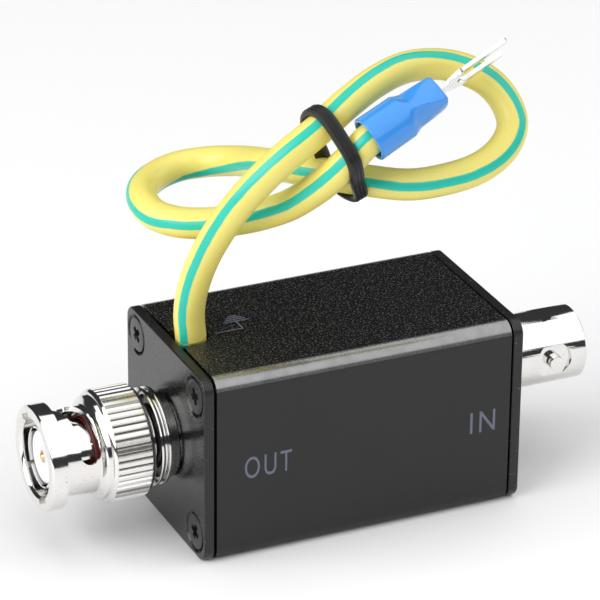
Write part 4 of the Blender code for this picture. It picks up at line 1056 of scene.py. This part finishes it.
class ARRESTOR_OT_screws(bpy.types.Operator):
    """Make the countersunk cross-recess screws"""
    bl_idname = "arrestor.screws"
    bl_label = "Screws"

    def execute(self, context):
        pattern = turn("screw_pattern", [
            (0.2, -0.03), (2.12, -0.03), (2.25, -0.10), (1.2, -1.15), (1.15, -1.3),
            (1.15, -8.4), (0.5, -9.0), (0.2, -9.0)], 64, closed=False)
        soften(pattern, 0.05, 25)
        for width, length in ((0.5, 1.35), (1.35, 0.5)):
            arm = block("recess", (-length, -width, -0.9), (length, width, 1.0))
            with editing(arm) as bm:
                choose(arm, bm.faces, lambda f: f.normal.z < -0.9)
                bpy.ops.transform.resize(value=(0.6, 0.6, 1), center_override=(0, 0, 0))
            carve(pattern, arm)
        smooth(pattern)
        for prefix, side, face in (("out", -1, PLATE_OUT), ("in", 1, PLATE_IN)):
            for i, (y, z) in enumerate(screw_places(), 1):
                screw = copy_of(pattern, f"{prefix}_screw_{i}_head")
                settle(screw, Matrix.Translation(Vector((face, y, z)) * MM)
                       @ Matrix.Rotation(side * pi / 2, 4, "Y") @ turned_z(SCREW_TURN * i))
                present(screw, f"{prefix}_screw_{i}", "black_steel", "black_screw")
        bpy.data.objects.remove(pattern, do_unlink=True)
        return {"FINISHED"}


class ARRESTOR_OT_marks(bpy.types.Operator):
    """Print OUT, IN and the earth sign"""
    bl_idname = "arrestor.marks"
    bl_label = "Printed marks"

    def word(self, text, left, right, base, height=2.95):
        """A word on the front face, between two places along X and above a third along Z."""
        nothing_selected()
        bpy.ops.object.text_add()
        obj = bpy.context.object
        obj.name = f"mark_{text.lower()}"
        obj.data.body = text
        obj.data.extrude = INK / 2
        obj.data.space_character = 1.25
        bpy.ops.object.convert(target="MESH")
        corners = [Vector(v.co) for v in obj.data.vertices]
        low = Vector([min(c[i] for c in corners) for i in range(3)])
        high = Vector([max(c[i] for c in corners) for i in range(3)])
        grow = ((right - left) / (high.x - low.x), height / (high.y - low.y), 1.0)
        settle(obj, Matrix.Diagonal((*grow, 1.0)) @ Matrix.Translation(-low))
        settle(obj, Matrix.Translation(Vector((left, -BOX_HALF - INK, base)) * MM)
               @ Matrix.Rotation(pi / 2, 4, "X") @ Matrix.Diagonal((MM, MM, MM, 1.0)))
        return obj

    def execute(self, context):
        out = self.word("OUT", -16.3, -10.0, 10.9)
        into = self.word("IN", 14.5, 18.0, 10.75)
        # The sign on the top face: an upright, four bars of falling length and a tail
        line, low, high = 0.22, BOX_TOP - 0.006, BOX_TOP + 0.012
        sign = block("mark_earth", (-11.36, -0.2, low), (-11.14, 2.05, high))
        for left, right, y in ((-12.95, -9.45, 2.05), (-12.5, -9.8, 2.55), (-12.1, -10.1, 3.05),
                               (-11.7, -10.5, 3.5)):
            carve(sign, block("stroke", (left, y - line / 2, low), (right, y + line / 2, high)),
                  "UNION")
        carve(sign, block("stroke", (-14.85, -0.25, low), (-11.14, -0.03, high)), "UNION")
        for obj in (out, into, sign):
            present(obj, None, "black_aluminium", "print")
        return {"FINISHED"}


# Connectors

class ARRESTOR_OT_coupling_nut(bpy.types.Operator):
    """Make the knurled bayonet nut with its two helical slots"""
    bl_idname = "arrestor.coupling_nut"
    bl_label = "Coupling nut"

    def execute(self, context):
        settings = context.scene.arrestor_connectors
        nut = turn("bayonet_nut", [
            (6.45, NOSE), (6.7, NOSE - 0.25), (6.7, NOSE - 2.15), (5.62, NOSE - 2.2),
            (5.5, NOSE - 2.3), (5.5, 10.75), (5.6, 10.6), (6.25, 10.3), (6.55, 10.05),
            (6.55, 9.55), (6.85, 9.45), (7.15, 9.12), (7.15, 4.55), (7.08, 4.4), (6.65, 3.9),
            (5.6, 3.9), (5.6, 4.45), (6.1, 4.45), (6.1, 6.0), (5.6, 6.0), (5.6, 10.4),
            (4.9, 10.4), (4.9, NOSE - 0.35), (5.25, NOSE)], settings.sides)
        soften(nut, 0.08, 20)
        groove = block("groove", (KNURL_ROOT, -0.60, KNURL_REAR), (7.6, 0.60, KNURL_FRONT))
        with editing(groove, "EDGE") as bm:
            choose(groove, bm.edges, lambda e: runs_along(e, 1) and middle_of(e).x < 7)
            bpy.ops.mesh.merge(type="COLLAPSE")
        whole(groove)
        with editing(groove, action="SELECT"):
            bpy.ops.mesh.spin(steps=settings.knurls - 1, dupli=True,
                              angle=2 * pi * (settings.knurls - 1) / settings.knurls,
                              center=(0, 0, 0), axis=(0, 0, 1))
        carve(nut, groove)
        for turned in (0, 180):
            carve(nut, self.slot_tool(SLOT_END + turned, SLOT_ENTRY + turned))
            detent = drum("detent", DETENT_RADIUS, (4.2, 0, SLOT_LOW), (8.0, 0, SLOT_LOW), 64)
            settle(detent, turned_z(SLOT_END + turned))
            carve(nut, detent)
            channel = block("channel", (4.2, -SLOT_WIDTH / 2, 12.6),
                            (5.65, SLOT_WIDTH / 2, NOSE + 1))
            settle(channel, turned_z(SLOT_ENTRY + turned))
            carve(nut, channel)
        seat(PLUG, (nut, 30, "coupling_nut", "bright_nickel", "nickel_nut", "nut_turn"))
        return {"FINISHED"}

    def slot_tool(self, end, entry):
        """A standing rectangle extruded round the axis, climbing faster and faster."""
        nothing_selected()
        bpy.ops.mesh.primitive_plane_add(size=1)
        tool = bpy.context.object
        tool.name = "slot_tool"
        depth, middle = 3.6, 6.1
        stand = (Matrix.Rotation(pi / 2, 4, "X")
                 @ Matrix.Diagonal((depth * MM, SLOT_WIDTH * MM, 1, 1)))
        settle(tool, turned_z(end) @ Matrix.Translation(Vector((middle, 0, SLOT_LOW)) * MM)
               @ stand)
        step = radians(entry - end) / SLOT_STEPS
        climb, run = SLOT_HIGH - SLOT_LOW, BARREL_RADIUS * step * SLOT_STEPS
        height, stretch = SLOT_LOW, 1.0
        with editing(tool, action="SELECT"):
            for i in range(1, SLOT_STEPS + 1):
                share = i / SLOT_STEPS
                # The rectangle grows with the slope, so that the slot keeps its width
                slope = SLOT_POWER * climb * share ** (SLOT_POWER - 1) / run
                rise = SLOT_LOW + climb * share ** SLOT_POWER - height
                height += rise
                grow = (1 + slope ** 2) ** 0.5 / stretch
                stretch *= grow
                bpy.ops.mesh.extrude_region_move(
                    TRANSFORM_OT_translate={"value": (0, 0, rise * MM)})
                bpy.ops.transform.rotate(value=-step, orient_axis="Z", center_override=(0, 0, 0))
                bpy.ops.transform.resize(value=(1, 1, grow),
                                         center_override=(0, 0, height * MM))
        whole(tool)
        return tool


class ARRESTOR_OT_plug(bpy.types.Operator):
    """Make the plug's shell, insulator, pin, gasket and rings"""
    bl_idname = "arrestor.plug"
    bl_label = "Plug"

    def execute(self, context):
        sides = context.scene.arrestor_connectors.sides
        shell = turn("plug_shell", [
            (3.85, 16.75), (4.0, 16.6), (4.0, 10.1), (5.3, 10.1), (5.3, 7.9), (4.3, 7.9),
            (4.3, 2.95), (6.2, 2.95), (6.2, 2.47), (5.6, 2.47), (5.6, 1.98), (6.2, 1.98),
            (6.2, 1.5), (5.5, 1.5), (5.5, 0.3), (4.7, 0.3), (4.7, -4.9), (3.65, -4.9),
            (3.65, 16.75)], sides)
        soften(shell, 0.07, 25)
        for i in range(2):
            slit = block("slit", (-6, -0.22, 12.75), (6, 0.22, 18))
            settle(slit, turned_z(35 + 90 * i))
            carve(shell, slit)
        insulator = turn("plug_disc", [
            (3.2, 16.4), (3.35, 16.25), (3.35, -4.9), (0.77, -4.9), (0.77, 16.3), (0.95, 16.4)],
            72)
        pin = turn("pin", [
            (0.05, 16.6), (0.3, 16.5), (0.65, 15.9), (0.65, -4.9), (0.5, -5.1), (0.5, -7.8),
            (0.05, -7.8)], 32, closed=False)
        gasket = turn("gasket_ring", [
            (4.4, 10.95), (4.5, 10.85), (4.5, 10.5), (4.4, 10.4), (4.12, 10.4), (4.12, 10.95)],
            96)
        seat(PLUG, (shell, 30, "plug_body", "bright_nickel", "nickel"),
             (insulator, 40, "plug_insulator", "white_insulator", "white"),
             (pin, 40, "plug_pin", "gold_plate", "gold"),
             (gasket, 40, "plug_gasket", "red_rubber", "red"))
        return {"FINISHED"}


class ARRESTOR_OT_jack(bpy.types.Operator):
    """Make the jack's barrel with its studs, insulator and contact"""
    bl_idname = "arrestor.jack"
    bl_label = "Jack"

    def execute(self, context):
        sides = context.scene.arrestor_connectors.sides
        barrel = turn("jack_barrel", [
            (4.35, JACK_FRONT), (4.62, JACK_FRONT - 0.05), (4.8, JACK_FRONT - 0.25), (4.8, 2.1),
            (4.9, 1.9), (6.05, 1.9), (6.2, 1.75), (6.2, 0.3), (4.7, 0.3), (4.7, -4.9),
            (3.75, -4.9), (3.75, 8.4), (4.05, 8.4), (4.05, JACK_FRONT - 0.15),
            (4.2, JACK_FRONT)], sides)
        up = STUD_HEIGHT
        for way in (1, -1):
            # A flat round the stud, a shallow hollow a quarter turn on and a flat on the flange
            carve(barrel, drum("spot", 2.45, (way * 4.35, 0, up), (way * 9, 0, up), 96))
            carve(barrel, drum("waist", 3.2, (-10, way * 7.6, up), (10, way * 7.6, up), 96))
            low, high = sorted((way * 5.5, way * 7.5))
            carve(barrel, block("flat", (-15, low, 0.2), (15, high, 1.95)))
        for way in (1, -1):
            stud = drum("stud", STUD_RADIUS, (way * 4.15, 0, up), (way * STUD_REACH, 0, up), 40)
            soften(stud, 0.14, 40)
            carve(barrel, stud, "UNION")
        soften(barrel, 0.05, 35)
        insulator = turn("jack_core", [
            (2.2, 12.2), (2.35, 12.05), (2.35, 8.1), (3.45, 8.1), (3.45, -4.9), (0.77, -4.9),
            (0.77, 7.1), (1.22, 7.1), (1.22, 12.2)], 72)
        contact = turn("socket", [
            (0.1, 8.4), (0.72, 8.4), (0.72, 11.8), (0.8, 11.9), (1.0, 11.9), (1.1, 11.8),
            (1.1, 7.9), (0.65, 7.9), (0.65, -4.9), (0.5, -5.1), (0.5, -7.8), (0.1, -7.8)],
            40, closed=False)
        # A leg goes down from the contact's tail to the board
        drop = JACK_Z - BOARD_HIGH - SEAT_GAP
        carve(contact, drum("leg", 0.49, (0, 0, -7.25), (0, drop, -7.25), 24), "UNION")
        seat(JACK, (barrel, 30, "jack_body", "bright_nickel", "nickel"),
             (insulator, 40, "jack_insulator", "white_insulator", "white"),
             (contact, 40, "jack_contact", "gold_plate", "gold"))
        return {"FINISHED"}


class ARRESTOR_OT_inside(bpy.types.Operator):
    """Finish the small pieces whose CAD shape is right"""
    bl_idname = "arrestor.inside"
    bl_label = "Inner pieces"

    def execute(self, context):
        for material, nodes in {
                "steel": ("retaining_ring", "thrust_washer", "wave_washer", "plug_lock_washer",
                          "jack_lock_washer"),
                "nickel": ("plug_hex_nut", "jack_hex_nut"),
                "board": ("circuit_board",),
                "ceramic": ("gas_discharge_tube", "series_resistor"),
                "epoxy": ("clamp_diode_1", "clamp_diode_2", "clamp_block", "choke"),
                }.items():
            for node in nodes:
                repaint(node, finish(material))
        repaint("earth_lead_inner", inner_insulation(context.scene.arrestor_lead))
        return {"FINISHED"}


class ARRESTOR_PT_panel(bpy.types.Panel):
    """Lists the pieces of the arrestor"""
    bl_label = "Lightning arrestor"
    bl_idname = "ARRESTOR_PT_panel"
    bl_space_type = "VIEW_3D"
    bl_region_type = "UI"
    bl_category = "Arrestor"

    def draw(self, context):
        for operator in OPERATORS:
            self.layout.operator(operator.bl_idname)
        for group in SETTINGS:
            settings = getattr(context.scene, group)
            for name in settings.bl_rna.properties.keys():
                if name not in ("rna_type", "name"):
                    self.layout.prop(settings, name)


SETTINGS = {"arrestor_stage": StageSettings, "arrestor_lead": LeadSettings,
            "arrestor_box": BoxSettings, "arrestor_connectors": ConnectorSettings}
# The lead comes after the tie and the terminal
OPERATORS = (ARRESTOR_OT_stage, ARRESTOR_OT_tie, ARRESTOR_OT_terminal, ARRESTOR_OT_lead,
             ARRESTOR_OT_housing, ARRESTOR_OT_end_plates, ARRESTOR_OT_screws,
             ARRESTOR_OT_marks, ARRESTOR_OT_coupling_nut, ARRESTOR_OT_plug, ARRESTOR_OT_jack,
             ARRESTOR_OT_inside)


def register():
    for group, settings in SETTINGS.items():
        bpy.utils.register_class(settings)
        setattr(bpy.types.Scene, group, PointerProperty(type=settings))
    for operator in OPERATORS:
        bpy.utils.register_class(operator)
    bpy.utils.register_class(ARRESTOR_PT_panel)


def unregister():
    bpy.utils.unregister_class(ARRESTOR_PT_panel)
    for operator in reversed(OPERATORS):
        bpy.utils.unregister_class(operator)
    for group, settings in SETTINGS.items():
        delattr(bpy.types.Scene, group)
        bpy.utils.unregister_class(settings)


def main():
    register()
    for operator in OPERATORS:
        family, name = operator.bl_idname.split(".")
        getattr(getattr(bpy.ops, family), name)()


if __name__ == "__main__":
    main()
